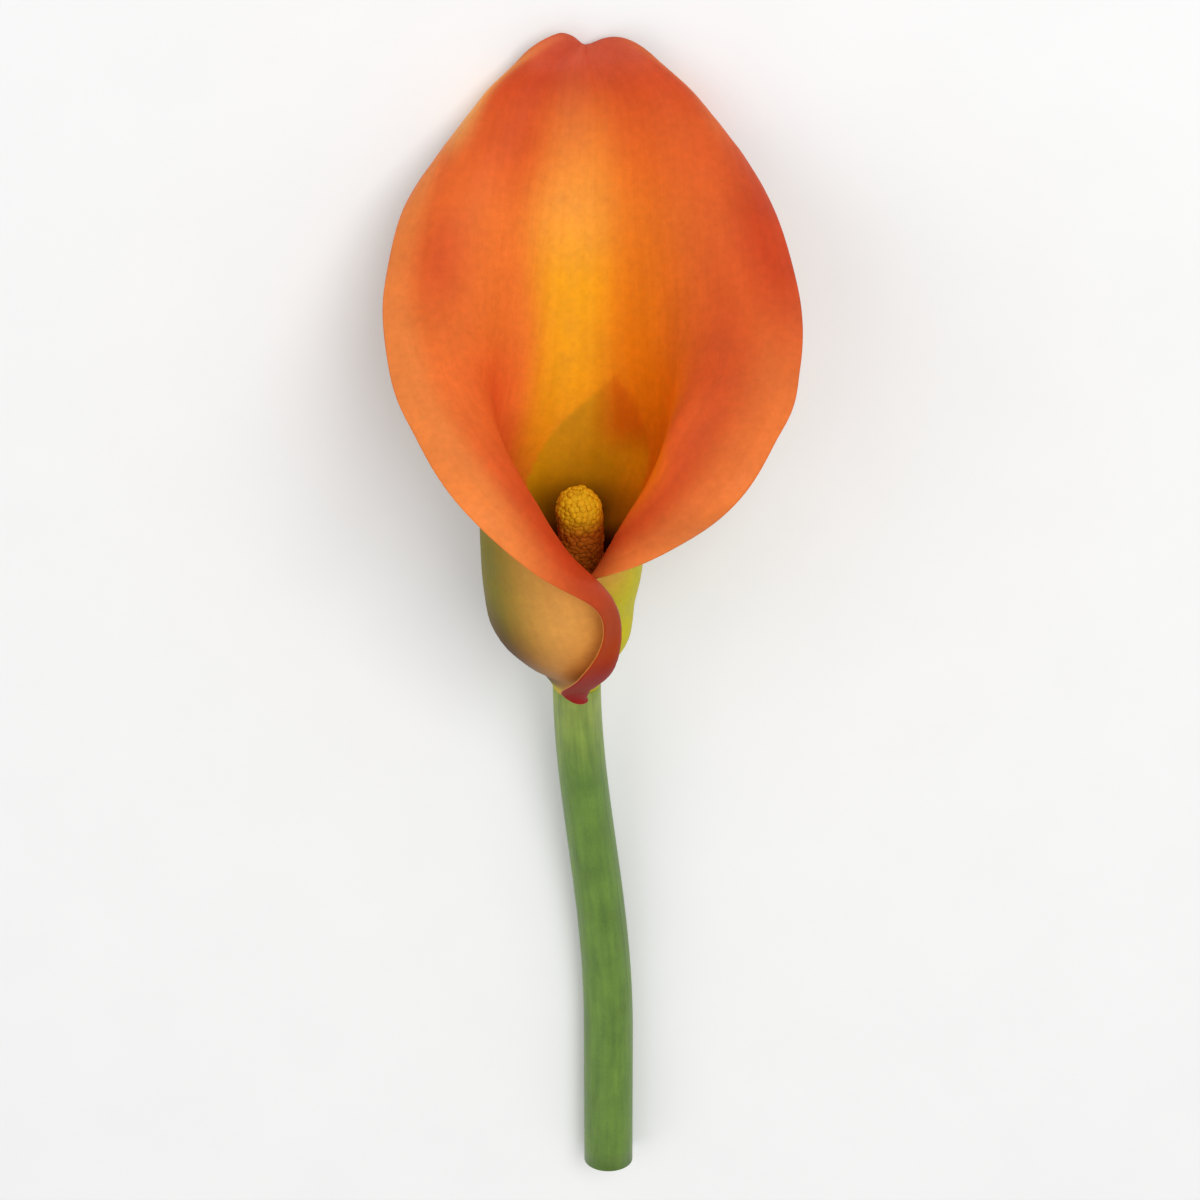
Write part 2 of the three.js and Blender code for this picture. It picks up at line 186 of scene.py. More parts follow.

# %% [markdown]
# ## The spathe: one leaf, rolled
#
# A spathe could be pulled out of a plane with the grab brush, but two margins that wrap, curl
# back and taper need an exact cross-section at every height. So it is rolled as a florist
# would roll a strip of paper. The midrib is a curve in space. Each half of the cross-section is
# a strip that first bows forward round the throat and then curls back in its margin. A table
# holds the lengths and the angles at a few places between the foot and the tip. They were listed
# first. Above the throat a least-squares fit then refined them, until the outline matched the
# one in the photograph, and its results are kept rounded.

# %% The midrib and the two halves of the leaf
# Place from foot to tip; the midrib's way sideways, back and up in mm and the tilt of the
# cross-section in degrees; then, for the left half and for the right one: mm that bow round the
# throat, degrees they turn, mm of margin, degrees it curls back.
LEAF_KEYS = [
    [0.00, 0.3, 3.4, 0.0, 0, 11.4, 185, 0.3, 0, 8.2, 150, 0.2, 0],
    [0.04, 0.3, 4.2, 2.9, 0, 15.6, 195, 3.4, 130, 11.4, 160, 0.2, 0],
    [0.08, 0.2, 6.4, 5.9, 1, 22.6, 200, 5.6, 180, 16.9, 168, 0.2, 0],
    [0.12, 0.0, 9.0, 9.3, 3, 34.0, 205, 6.6, 190, 24.3, 174, 0.2, 0],
    [0.17, -0.2, 11.2, 14.0, 6, 46.4, 214, 6.6, 184, 27.4, 176, 0.6, 0],
    [0.22, -0.2, 12.2, 19.2, 9, 51.0, 220, 3.0, 170, 30.0, 172, 0.8, 0],
    [0.27, 0.0, 12.8, 24.4, 13, 50.0, 209, 3.9, 158, 29.2, 160, 3.6, 45],
    [0.32, 0.3, 13.6, 29.5, 19, 42.6, 175, 11.3, 152, 28.7, 143, 12.9, 130],
    [0.37, 0.6, 15.0, 34.5, 26, 33.0, 141, 20.3, 138, 28.1, 121, 23.3, 125],
    [0.43, 1.0, 17.4, 40.5, 32, 24.6, 107, 20.3, 127, 24.2, 100, 25.9, 127],
    [0.50, 1.3, 20.5, 47.0, 35, 19.7, 79, 18.8, 103, 19.8, 78, 23.7, 104],
    [0.60, 1.6, 26.3, 56.8, 36, 15.4, 55, 19.1, 94, 16.4, 55, 20.3, 92],
    [0.70, 1.7, 32.6, 66.8, 37, 12.9, 45, 17.9, 96, 13.3, 45, 18.8, 105],
    [0.78, 2.1, 37.9, 74.4, 38, 10.2, 40, 17.4, 133, 10.3, 37, 18.0, 136],
    [0.86, 2.0, 42.5, 81.7, 46, 7.5, 29, 14.4, 159, 7.3, 28, 15.1, 162],
    [0.92, 1.3, 45.5, 85.1, 58, 5.5, 32, 6.7, 119, 5.9, 27, 8.2, 121],
    [0.96, 1.3, 47.2, 86.9, 74, 1.9, 68, 3.2, 61, 2.7, 45, 3.5, 63],
    [1.00, 1.2, 48.6, 86.3, 88, 0.4, 20, 0.4, 10, 0.4, 20, 0.4, 10],
]
MIDRIB_COLUMNS = range(1, 5)
LEFT_COLUMNS = range(5, 9)
RIGHT_COLUMNS = range(9, 13)
print("the leaf is described at", len(LEAF_KEYS), "places along its midrib")

# %% [markdown]
# ### From a half strip to a curve
#
# Walking outwards along one half of a cross-section, the strip's direction turns steadily while
# it bows, and then turns back in the margin. Adding up many short steps in that direction gives
# the curve itself, just as walking does.

# %% Walk along one half of a cross-section
SECTION_STEPS = 240
BOW_ROUNDING = 0.12  # the bow fades into the margin over this share
CURL_LEAD = 0.07  # the margin starts to curl this share before the bow ends
SLOW_CURL = 1.5  # exponent of the curl along the blade's margins
TIGHT_CURL_SHARE = 0.6  # over the tube the curl is done in this share of the margin
TIGHT_CURL_TOP = 0.44  # place where the tight curl has faded out
TIGHT_CURL_FADE = 0.24


def half_section(columns, place, shares):
    """(outward, forward) in mm at the given shares of a half section's length."""
    bow, turn, margin, curl = (read_keys(LEAF_KEYS, place, column) for column in columns)
    turn, curl = math.radians(turn), math.radians(curl)
    length = bow + margin
    bow_share = bow / length
    curl_start = max(0, bow_share - CURL_LEAD)
    tightness = smooth((TIGHT_CURL_TOP - place) / TIGHT_CURL_FADE)
    share = (np.arange(SECTION_STEPS) + 0.5) / SECTION_STEPS
    into_curl = np.clip((share - curl_start) / (1 - curl_start), 0, 1)
    slow = into_curl**SLOW_CURL
    tight = smooth(into_curl / TIGHT_CURL_SHARE)
    bowed = share / bow_share
    rounded = 1 - (1 + BOW_ROUNDING - bowed) ** 2 / (4 * BOW_ROUNDING)
    still_bowing = np.where(bowed < 1 - BOW_ROUNDING, bowed, rounded)
    bowed = np.where(bowed > 1 + BOW_ROUNDING, 1, still_bowing)
    direction = turn * bowed - curl * (slow + (tight - slow) * tightness)
    step = length / SECTION_STEPS
    outward = np.concatenate([[0], np.cumsum(np.cos(direction))]) * step
    forward = np.concatenate([[0], np.cumsum(np.sin(direction))]) * step
    walked = np.linspace(0, 1, SECTION_STEPS + 1)
    return np.interp(shares, walked, outward), np.interp(shares, walked, forward)


def rolled_row(place, across):
    """The leaf's middle surface at one place, for across from -1 (left edge) to 1 (right)."""
    sideways, back, up, tilt = (read_keys(LEAF_KEYS, place, column) for column in MIDRIB_COLUMNS)
    tilt = math.radians(tilt)
    left_out, left_forward = half_section(LEFT_COLUMNS, place, -across.clip(max=0))
    right_out, right_forward = half_section(RIGHT_COLUMNS, place, across.clip(min=0))
    out = np.where(across < 0, -left_out, right_out)
    forward = np.where(across < 0, left_forward, right_forward)
    return np.stack(
        [sideways + out, back - forward * math.cos(tilt), up + forward * math.sin(tilt)], axis=1
    )


widest = rolled_row(0.5, np.linspace(-1, 1, 3))
print("half way up, the two edges stand", round(widest[2][0] - widest[0][0], 1), "mm apart")

# %% [markdown]
# ### Rolling a flat grid
#
# The leaf starts as a flat grid, which is what a leaf is, with one column for each line from
# foot to tip and one row for each place along the midrib. The columns crowd towards the midrib
# and the edges, and the rows crowd where the tube opens and where the tip bends back, because
# the leaf turns fastest there. Then every vertex moves to its place on the rolled leaf. The grid
# keeps its own UV map, rewritten so that U runs across the leaf and V along it: veins and
# colours follow these two directions on a real leaf too.

# %% Roll the grid into a spathe
HALF_COLUMNS = 60
COLUMN_CROWDING = 0.5
# (place where a stretch ends, rows in it)
ROW_STRETCHES = [(0.24, 36), (0.4, 34), (0.86, 56), (1.0, 34)]
row_places = [0.0]
for stretch_end, count in ROW_STRETCHES:
    row_places += list(np.linspace(row_places[-1], stretch_end, count + 1)[1:])
row_places = np.array(row_places)
ROWS = len(row_places) - 1

leaf = start_from(bpy.ops.mesh.primitive_grid_add, "rolled_leaf",
                  x_subdivisions=2 * HALF_COLUMNS, y_subdivisions=ROWS, size=1)
flat = np.empty(len(leaf.data.vertices) * 3)
leaf.data.vertices.foreach_get("co", flat)
flat = flat.reshape(-1, 3)
even = np.clip(flat[:, 0] * 2, -1, 1)
across = even - COLUMN_CROWDING * np.sin(2 * np.pi * even) / (2 * np.pi)
row_of = np.rint((flat[:, 1] + 0.5) * ROWS).astype(int)
place = row_places[row_of]
rolled = np.empty_like(flat)
for row, row_place in enumerate(row_places):
    here = row_of == row
    rolled[here] = rolled_row(row_place, across[here])
print("a flat grid of", len(leaf.data.polygons), "faces is ready to be rolled")

# %% [markdown]
# ### Veins and a groove in the relief
#
# A spathe isn't glass-smooth. Fine veins run from foot to tip and lift its skin by a few
# hundredths of a millimetre, and the midrib is a shallow groove on the inside that deepens
# towards the tip, where it folds the blade's upper edge into a small notch. Both are moved in
# the mesh, along the leaf's own normals, so that they show in raking light.

# %% Add the veins' relief and the midrib's groove
VEINS_IN_HALF = 15
VEIN_LIFT = 0.035  # mm
GROOVE_DEPTH = 0.25  # mm, near the tip
GROOVE_WIDTH = 0.05  # share of the half leaf
grid_shape = (ROWS + 1, 2 * HALF_COLUMNS + 1, 3)
order = np.lexsort((flat[:, 0], row_of))
sheet = rolled[order].reshape(grid_shape)
along_row = np.gradient(sheet, axis=1)
along_rib = np.gradient(sheet, axis=0)
inward = np.cross(along_row, along_rib)
inward /= np.maximum(np.linalg.norm(inward, axis=2, keepdims=True), 1e-9)
sheet_across = across[order].reshape(grid_shape[:2])
sheet_place = place[order].reshape(grid_shape[:2])
vein = np.cos(2 * np.pi * VEINS_IN_HALF * np.abs(sheet_across)) ** 3
vein *= VEIN_LIFT * rise(sheet_place, 0.02, 0.2) * rise(sheet_place, 1.0, 0.8)
groove = GROOVE_DEPTH * hill(sheet_across, 0, GROOVE_WIDTH) * rise(sheet_place, 0.7, 0.93)
sheet = sheet + inward * (vein - groove)[..., None]
rolled[order] = sheet.reshape(-1, 3)
normals = np.empty_like(rolled)
normals[order] = inward.reshape(-1, 3)
print("veins lift the skin by", VEIN_LIFT, "mm and the groove is", GROOVE_DEPTH, "mm deep")

# %% [markdown]
# ### Giving it a wall
#
# A Solidify modifier turns the sheet into a thin body. A vertex group makes it thickest along
# the midrib and thinnest at the free edge, where a real spathe ends in a fine rounded rim.
# When the modifier is applied, it keeps the sheet's own vertices first and adds its copies of
# them after, so it is easy to tell which face of the leaf a vertex belongs to.

# %% Lay the leaf down and thicken it
TUBE_WALL = 1.3  # mm, along the midrib of the tube
BLADE_WALL = 1.0  # mm, along the midrib of the blade
EDGE_WALL = 0.6  # mm, just inside the free edge
RIM_WALL = 0.22  # mm, at the free edge itself
TUBE_WALL_FADE = 0.4
RIM_SHARE = 0.035  # share of the half leaf over which the rim thins
TIP_RIM = 6  # a step along the leaf's last stretch counts as this many across it
SEAT_GAP = 0.3  # mm between the stalk's end and the leaf's foot

from_rib = np.abs(across)
rib_wall = TUBE_WALL + (BLADE_WALL - TUBE_WALL) * np.clip(place / TUBE_WALL_FADE, 0, 1)
wall = rib_wall + (EDGE_WALL - rib_wall) * from_rib**2
edge = np.minimum(1 - from_rib, TIP_RIM * (1 - place))
wall = RIM_WALL + (wall - RIM_WALL) * np.sqrt(np.clip(edge / RIM_SHARE, 0, 1))
rolled[:, 2] += SEAT_GAP
lying = laid_down(rolled)

leaf.data.vertices.foreach_set("co", (lying * MM).ravel())
leaf.data.update()
walls = leaf.vertex_groups.new(name="wall")
for index, thickness in enumerate(wall / TUBE_WALL):
    walls.add([index], float(thickness), "REPLACE")

pick_up(leaf)
thicken = leaf.modifiers.new("wall", "SOLIDIFY")
thicken.thickness = TUBE_WALL * MM
thicken.offset = 0
thicken.vertex_group = "wall"
thicken.use_rim = True
bpy.ops.object.modifier_apply(modifier="wall")
bpy.ops.object.shade_smooth()
leaf.vertex_groups.clear()
print("the spathe has", len(leaf.data.vertices), "vertices, and its wall is", RIM_WALL, "to",
      TUBE_WALL, "mm")

# %% [markdown]
# ### Moving it to its place
#
# The construction model says where the spathe is. Both boxes have the same shape, so laying
# their centres over each other moves the flower to its true place. The foot of the tube is the
# origin of the flower's own frame, and its place is kept, because the spadix and the stalk
# start there.

# %% Put the spathe where the construction model has it
corners = points_of(leaf)
own_middle = (corners.min(0) + corners.max(0)) / 2
cad_low, cad_high = (np.array(corner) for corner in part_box("spathe"))
tube_foot = (cad_low + cad_high) / 2 - own_middle
leaf.data.transform(Matrix.Translation(Vector(tube_foot)))
grown = (corners.max(0) - corners.min(0)) - (cad_high - cad_low)
print("foot of the tube in mm:", np.round(tube_foot / MM, 3))
print("the spathe's box differs from the construction's by", np.round(grown / MM, 2), "mm")

# %% [markdown]
# ### Where each colour lies
#
# The leaf's colours follow its two directions, across and along. So each colour gets a mask: a
# number from 0 to 1 for every vertex, written as a soft function of those two, and saved in the
# mesh under the colour's name. The material reads the masks and mixes the colours, so the
# painting stays tied to the leaf however it is rolled. Many of the masks' numbers, and the
# leaf's colours further down, started from a least-squares fit to the colours in the photograph
# and were then adjusted.
#
# - `glow` and `pale`: the golden channel up the middle of the blade, a little left of the
#   midrib, and its paler upper half.
# - `warm` and `shade`: the broader orange round it, and the browner orange right of the midrib.
# - `blush_and_fold_shade` and `tip_rose_and_sheen`: the red of the flanks and of the upper end,
#   with painted shade in it along the left fold, and the dull rose of the very tip, partly its
#   own colour and partly a painted sheen.
# - `margin` and `shoulder`: the paler orange of the edge and of the corners beside the tip.
# - `crease` and `brown`: the deep orange where the limb folds over into the throat, and the
#   browner band right of the arch.
# - `throat`, `lit`, `tawny` and `deep`: the olive of the tube's inside, which ends in a pointed
#   arch, its lighter right half, its tawny upper right end, and at its bottom a maroon that is
#   partly its own colour and partly painted shade, with a painted shadow round the spadix.
# - `strip` and `strip_end`: the red of the margin that folds back over the tube, and the deeper
#   red of its lower end.
# - `outside`, `green`, `tan` and `foot`: the back of the leaf, the yellow green right side of the
#   tube, the tan along both margins there, and low on its left a brown that is partly its own
#   colour and partly painted shade.

# %% Sort the vertices into the two faces of the leaf
u = np.concatenate([across, across])
v = np.concatenate([place, place])
middle_sheet = np.concatenate([lying * MM + tube_foot] * 2)
lying_normals = np.concatenate([laid_down(normals)] * 2)
side = ((points_of(leaf) - middle_sheet) * lying_normals).sum(1)
print("vertices inside:", int((side > 0).sum()), "and outside:", int((side < 0).sum()))

# %% Save the masks in the mesh
GLOW_LINE = -0.065  # across
ARCH_TOP = (0.11, 0.487)  # across and along, where the throat's olive ends in a pointed arch
ARCH_BEND = 0.16  # across, how far left of its top the arch bends down faster
FOLD_START = 0.71  # across, where the left margin folds over the throat at the place below
FOLD_PLACE = 0.4

higher = rise(v, 0.52, 0.72)
from_glow = u - GLOW_LINE
glow_width = np.where(from_glow < 0, 0.155 + 0.085 * higher, 0.165 + 0.035 * higher)
from_arch = u - ARCH_TOP[0]
left_arch = 0.38 * from_arch - 4 * (-ARCH_BEND - from_arch).clip(min=0) ** 2
right_arch = -0.3 * from_arch - 3.2 * from_arch**2
arch = ARCH_TOP[1] + np.where(from_arch < 0, left_arch, right_arch)
arch_softness = 0.005 + 0.014 * rise(u, 0.05, 0.2)
fold = FOLD_START + 2 * (FOLD_PLACE - v)
brown_end = 0.62 + 0.16 * rise(v, 0.44, 0.38)
masks = {
    "glow": np.exp(-np.abs(from_glow / glow_width) ** 3) * plateau(v, 0.17, 0.5, 0.58, 0.93),
    "pale": rise(v, 0.6, 0.72),
    "warm": hill(u, -0.14, 1.0) * plateau(v, 0.38, 0.46, 0.67, 0.79),
    "shade": hill(u, 0.19, 0.26) * plateau(v, 0.32, 0.42, 0.53, 0.92),
    "blush_and_fold_shade": np.maximum.reduce([
        0.72 * hill(u, -0.75, 0.14) * hill(v, 0.64, 0.085),
        0.75 * hill(u, 0.7, 0.22) * hill(v, 0.44, 0.36),
        1.1 * hill(u, 0.94, 0.28) * hill(v, 0.67, 0.15),
        rise(v, 0.76, 0.88) * rise(u, -0.86, -0.6) * (0.8 + 0.2 * hill(u, -0.38, 0.16)),
        0.6 * hill(u, -0.45, 0.25) * hill(v, 0.83, 0.06),
        # painted shade: the rose laid along the left fold darkens the edge where the margin folds
        # over
        rise(-u - fold, 0.17, 0) * (u < 0) * rise(v, 0.44, 0.33),
    ]).clip(0, 1),
    "shoulder": np.maximum(
        rise(-u, 0.62, 0.84) * plateau(v, 0.76, 0.84, 0.9, 0.97),
        0.6 * rise(u, 0.66, 0.92) * hill(v, 0.91, 0.05),
    ),
    # partly the tip's own rose and partly a painted sheen where the tip folds back
    "tip_rose_and_sheen": rise(v, 0.85, 1.0),
    "crease": np.maximum(
        hill(u, -0.5, 0.22) * plateau(v, 0.3, 0.36, 0.46, 0.56),
        hill(u, 0.66, 0.1) * plateau(v, 0.28, 0.34, 0.43, 0.5),
    ),
    "brown": plateau(u, 0.12, 0.26, brown_end - 0.16, brown_end) * rise(v, 0.55, 0.44),
    "margin": np.maximum.reduce([
        rise(-u, 0.8, 0.9) * plateau(v, 0.27, 0.34, 0.78, 0.84),
        rise(-u, 0.66, 0.82) * plateau(v, 0.74, 0.8, 0.88, 0.93),
        rise(u, 0.76, 0.89) * plateau(v, 0.24, 0.3, 0.27, 0.72),
        rise(u, 0.66, 0.8) * hill(v, 0.86, 0.05),
    ]),
    "throat": rise(arch - v, -arch_softness, arch_softness) * rise(np.abs(u), 0.74, 0.6),
    "tawny": rise(u, 0.0, 0.14) * rise(v, 0.36, 0.42),
    "lit": rise(u, 0.06, 0.24) * rise(v, 0.42, 0.36),
    # maroon at the throat's bottom, partly its own colour and partly painted shade; the hill
    # round the spadix's foot is a painted shadow
    "deep": rise(np.abs(u), 0.86, 0.6) * np.maximum(
        rise(v, 0.3, 0.22), 0.9 * hill(u, 0.05, 0.16) * rise(v, 0.345, 0.28)),
    "strip": rise(v, 0.32, 0.24) * rise(u, -0.55, -0.75),
    "strip_end": rise(v, 0.21, 0.15),
    "outside": (side < 0).astype(float),
    "green": np.maximum(rise(u, 0.0, 0.4) * rise(v, 0.5, 0.3), rise(v, 0.07, 0.01)),
    "tan": np.maximum(rise(-u, 0.52, 0.78), 0.75 * rise(u, 0.62, 0.86) * rise(v, 0.2, 0.27)),
    # brown low on the tube's left: partly its own colour and partly painted shade
    "foot": 0.95 * rise(u, 0.1, -0.4) * plateau(v, 0.02, 0.08, 0.15, 0.25),
}
for name, values in masks.items():
    save_mask(leaf, name, values)
print("saved", len(masks), "masks on the spathe")

# %% Write the leaf's UV map
uv_layer = leaf.data.uv_layers[0]
uv_layer.name = "leaf_lines"
corner_vertex = np.empty(len(leaf.data.loops), int)
leaf.data.loops.foreach_get("vertex_index", corner_vertex)
leaf_uv = np.stack([u / 2 + 0.5, v], axis=1)[corner_vertex]
uv_layer.data.foreach_set("uv", leaf_uv.ravel())
print("the spathe's UV map is called", uv_layer.name)

# %% [markdown]
# ## The spadix
#
# The upper, male part of the spadix is a finger packed with stalkless anthers in staggered
# rows. One anther is modelled from a small sphere: flattened, with the slight dent between its
# two pollen sacs pressed across its middle. Hundreds of copies then follow the rule that real
# florets follow, every second row shifted by half a floret, and each is turned, sized and moved
# a little by a seeded draw. They are joined to the core that they grow from.

# %% Model one anther
ANTHER_SIZE = (1.15, 1.15 * 0.86, 0.5)  # mm
DENT_DEPTH = 0.15  # share of the height
DENT_WIDTH = 0.16  # mm
anther = start_from(bpy.ops.mesh.primitive_uv_sphere_add, "one_anther",
                    segments=8, ring_count=5, radius=0.5)
bpy.ops.object.mode_set(mode="EDIT")
bpy.ops.mesh.select_all(action="SELECT")
bpy.ops.transform.resize(value=ANTHER_SIZE)
bpy.ops.object.mode_set(mode="OBJECT")
for vertex in anther.data.vertices:
    if vertex.co.z > 0:
        vertex.co.z *= 1 - DENT_DEPTH * math.exp(-((vertex.co.x / DENT_WIDTH) ** 2))
print("one anther has", len(anther.data.polygons), "faces")

# %% [markdown]
# ### Stamping copies
#
# A few hundred separate objects would slow everything down, so the copies are stamped straight
# into one mesh: the pattern's vertices are multiplied by each copy's matrix, and its faces are
# repeated with their numbers moved on.

# %% Helpers that stamp a pattern into one mesh and join pieces
def stamp(name, pattern, matrices):
    """One object that holds a copy of the pattern's mesh for each matrix."""
    points = np.array([list(vertex.co) + [1] for vertex in pattern.data.vertices])
    faces = [list(polygon.vertices) for polygon in pattern.data.polygons]
    all_points = np.concatenate([points @ np.array(matrix).T[:, :3] for matrix in matrices])
    all_faces = [
        [index + copy * len(points) for index in face]
        for copy in range(len(matrices))
        for face in faces
    ]
    mesh = bpy.data.meshes.new(name)
    mesh.from_pydata(all_points.tolist(), [], all_faces)
    mesh.update()
    piece = bpy.data.objects.new(name, mesh)
    bpy.context.scene.collection.objects.link(piece)
    return piece


def join(name, pieces):
    """Joins pieces into the first one and smooths it."""
    pick_up(*pieces)
    bpy.ops.object.join()
    joined = bpy.context.object
    joined.name = name
    bpy.ops.object.shade_smooth()
    return joined


print("ready to stamp and join")

# %% The spadix's axis and its thickness
SPADIX_LEAN = 1.2  # mm, sideways bulge of the spadix's axis
MALE_FOOT = 11.5  # mm above the stalk's end
MALE_TOP = 39.0
MALE_RADIUS = 3.05
MALE_DOME = 3.66  # length over which the tip rounds off
WAIST = 0.1  # share by which the zone is thinner at its foot and thicker at its top
LEAN_TURN = 0.8 * math.pi  # how far the axis runs through one swing


def spadix_axis(height):
    """Where the spadix's axis runs, in the flower's own frame."""
    return np.array([SPADIX_LEAN * math.sin(LEAN_TURN * height / MALE_TOP), 0, height])


def male_radius(height):
    """How far from the axis the anthers' feet stand at a height."""
    into_dome = min(max(1 - (MALE_TOP - height) / MALE_DOME, 0), 1)
    swell = 1 - WAIST * math.cos(math.pi * (height - MALE_FOOT) / (MALE_TOP - MALE_FOOT))
    return MALE_RADIUS * swell * math.sqrt(max(0, 1 - into_dome**2))


print("the male zone is", 2 * round(male_radius(30), 2), "mm thick at two thirds of its height")

# %% [markdown]
# ### The core
#
# The florets need something to grow from. The core is drawn out of a filled circle as a potter
# draws up clay: the top face is extruded a little way, then resized and, where the axis bends,
# turned, again and again up to the tip. The same helper draws out the stalk later.

# %% Helpers that draw a rod out of a circle and lay it in place
def draw_out(name, centres_mm, radii_mm, sides, turns=None):
    """A closed rod through the centres, its ring turned about X by turns[i] at centre i."""
    centres = [tuple(np.array(centre) * MM) for centre in centres_mm]
    radii = [radius * MM for radius in radii_mm]
    rod = start_from(bpy.ops.mesh.primitive_circle_add, name, vertices=sides,
                     radius=radii[0], fill_type="NGON", location=centres[0])
    bpy.ops.object.transform_apply(location=True)
    if turns is not None:
        rod.data.transform(Matrix.Translation(centres[0]) @ Matrix.Rotation(turns[0], 4, "X")
                           @ Matrix.Translation(-Vector(centres[0])))
    bpy.ops.object.mode_set(mode="EDIT")
    bpy.ops.mesh.select_all(action="SELECT")
    for i in range(1, len(centres)):
        step = Vector(centres[i]) - Vector(centres[i - 1])
        bpy.ops.mesh.extrude_region_move(TRANSFORM_OT_translate={"value": step})
        size = radii[i] / radii[i - 1]
        bpy.ops.transform.resize(value=(size, size, size), center_override=centres[i])
        if turns is not None and turns[i] != turns[i - 1]:
            bpy.ops.transform.rotate(
                value=turns[i - 1] - turns[i], orient_axis="X", center_override=centres[i]
            )
    bpy.ops.mesh.select_all(action="SELECT")
    bpy.ops.mesh.normals_make_consistent(inside=False)
    bpy.ops.object.mode_set(mode="OBJECT")
    bpy.ops.object.shade_smooth()
    return rod


def lay_in_place(piece):
    """Moves a piece modelled upright in the flower's own frame, in metres, to where it lies."""
    piece.data.transform(Matrix.Translation(Vector(tube_foot)) @ lay_down)
    piece.data.update()


print("ready to draw out rods")

# %% Draw out the male core
CORE_INSET = 0.03  # mm that the core stays below the anthers' feet
CORE_TOP = MALE_TOP - 0.1
CORE_RINGS = 36
CORE_SIDES = 28

heights = [MALE_FOOT + (CORE_TOP - MALE_FOOT) * math.sin(math.pi / 2 * i / CORE_RINGS)
           for i in range(CORE_RINGS + 1)]
male_core = draw_out("male_core", [spadix_axis(h) for h in heights],
                     [max(male_radius(h) - CORE_INSET, 0.1) for h in heights], CORE_SIDES)
print("the male core has", len(male_core.data.polygons), "faces")

# %% Cover the core with anthers
ANTHER_PITCH = 0.92  # mm between neighbours
ROW_PITCH = 0.78  # mm between rows
LOWEST_ROW = MALE_FOOT + 0.45
HIGHEST_ROW = MALE_TOP + 0.05
RADIUS_TOP = MALE_TOP - 0.02  # the anthers above it stand as far out as those here
SLOPE_SPAN = 0.05  # mm up and down over which the core's slope is measured
SHORTEST_STEP = 0.25  # share of the pitch, where the dome is steepest
ANGLE_JITTER = 0.2  # share of the pitch
HEIGHT_JITTER = 0.14  # mm
BULGE = (-0.16, 0.1)  # mm
ANTHER_SIZES = (0.9, 1.35)
MAX_SPIN = 90  # degrees
draw = random.Random(11)


def grown_outward(height, radius, angle, lean, size, spin):
    """The matrix of one floret that stands on the spadix and leans towards its tip."""
    foot = spadix_axis(height) + np.array([radius * math.cos(angle), radius * math.sin(angle), 0])
    outward = Vector((math.cos(angle) * math.cos(lean), math.sin(angle) * math.cos(lean),
                      math.sin(lean)))
    turn = outward.to_track_quat("Z", "Y").to_matrix().to_4x4()
    return (Matrix.Translation(Vector(foot * MM)) @ turn @ Matrix.Rotation(spin, 4, "Z")
            @ Matrix.Scale(size * MM, 4))


matrices = []
height = LOWEST_ROW
row = 0
while height < HIGHEST_ROW:
    radius = male_radius(min(height, RADIUS_TOP))
    above = male_radius(min(height + SLOPE_SPAN, MALE_TOP))
    slope = (above - male_radius(height - SLOPE_SPAN)) / (2 * SLOPE_SPAN)
    lean = math.atan(-slope) if height < MALE_TOP - SLOPE_SPAN else math.pi / 2
    around = max(1, round(2 * math.pi * radius / ANTHER_PITCH))
    for k in range(around):
        angle = 2 * math.pi * (k + 0.5 * (row % 2) + draw.uniform(-ANGLE_JITTER, ANGLE_JITTER))
        angle /= around
        size = draw.uniform(*ANTHER_SIZES)
        spin = math.radians(draw.uniform(-MAX_SPIN, MAX_SPIN))
        grown_radius = max(radius + draw.uniform(*BULGE), 0)
        grown_height = height + draw.uniform(-HEIGHT_JITTER, HEIGHT_JITTER)
        matrices.append(grown_outward(grown_height, grown_radius, angle, lean, size, spin))
    height += ROW_PITCH * max(math.cos(lean), SHORTEST_STEP)
    row += 1
anthers = stamp("anthers", anther, matrices)
male_zone = join("pollen_spadix", [male_core, anthers])
lay_in_place(male_zone)
print("the male zone carries", len(matrices), "anthers in", row, "rows")

# %% [markdown]
# ### Shed pollen
#
# Ripe anthers push their pollen out in little waxy crumbs, which is what makes the finger look
# so grainy and yellow near its tip. A crumb is one small icosphere. Its copies are scattered
# over the florets by a seeded draw, dense at the tip and thinning out downwards.

# %% Scatter crumbs of pollen
CRUMBS = 420
CRUMB_SIZES = (0.08, 0.15)  # mm
CRUMB_LIFT = (0.12, 0.26)  # mm
CRUMB_CROWDING = 1.8  # exponent; above 1 they crowd at the tip
LOWEST_CRUMB = MALE_FOOT + 1
HIGHEST_CRUMB = MALE_TOP + 0.15
CRUMB_RADIUS_TOP = MALE_TOP - 0.03
CRUMB_SPIN = 3  # radians
crumb = start_from(bpy.ops.mesh.primitive_ico_sphere_add, "one_crumb", subdivisions=1, radius=1)
matrices = []
for _ in range(CRUMBS):
    share = 1 - draw.random() ** CRUMB_CROWDING
    height = LOWEST_CRUMB + (HIGHEST_CRUMB - LOWEST_CRUMB) * share
    radius = male_radius(min(height, CRUMB_RADIUS_TOP)) + draw.uniform(*CRUMB_LIFT)
    angle = draw.uniform(0, 2 * math.pi)
    size = draw.uniform(*CRUMB_SIZES)
    matrices.append(grown_outward(height, radius, angle, 0, size, draw.uniform(0, CRUMB_SPIN)))
pollen = stamp("shed_pollen", crumb, matrices)
pick_up(pollen)
bpy.ops.object.shade_smooth()
lay_in_place(pollen)
bpy.data.objects.remove(crumb)
bpy.data.objects.remove(anther)
print("scattered", CRUMBS, "crumbs of pollen")

# %% [markdown]
# ### The ovaries
#
# Below the anthers, hidden in the tube, sit the female florets: pale green ovaries like little
# bottles, each with a short neck and a knob on top, on a bare foot that joins the stalk. The
# bottle is pulled out of a small sphere: its topmost faces are picked by their place, extruded
# for the neck, and widened for the knob.

# %% Model one ovary
TOP_FACES = 0.88  # height above which the sphere's faces are pulled out
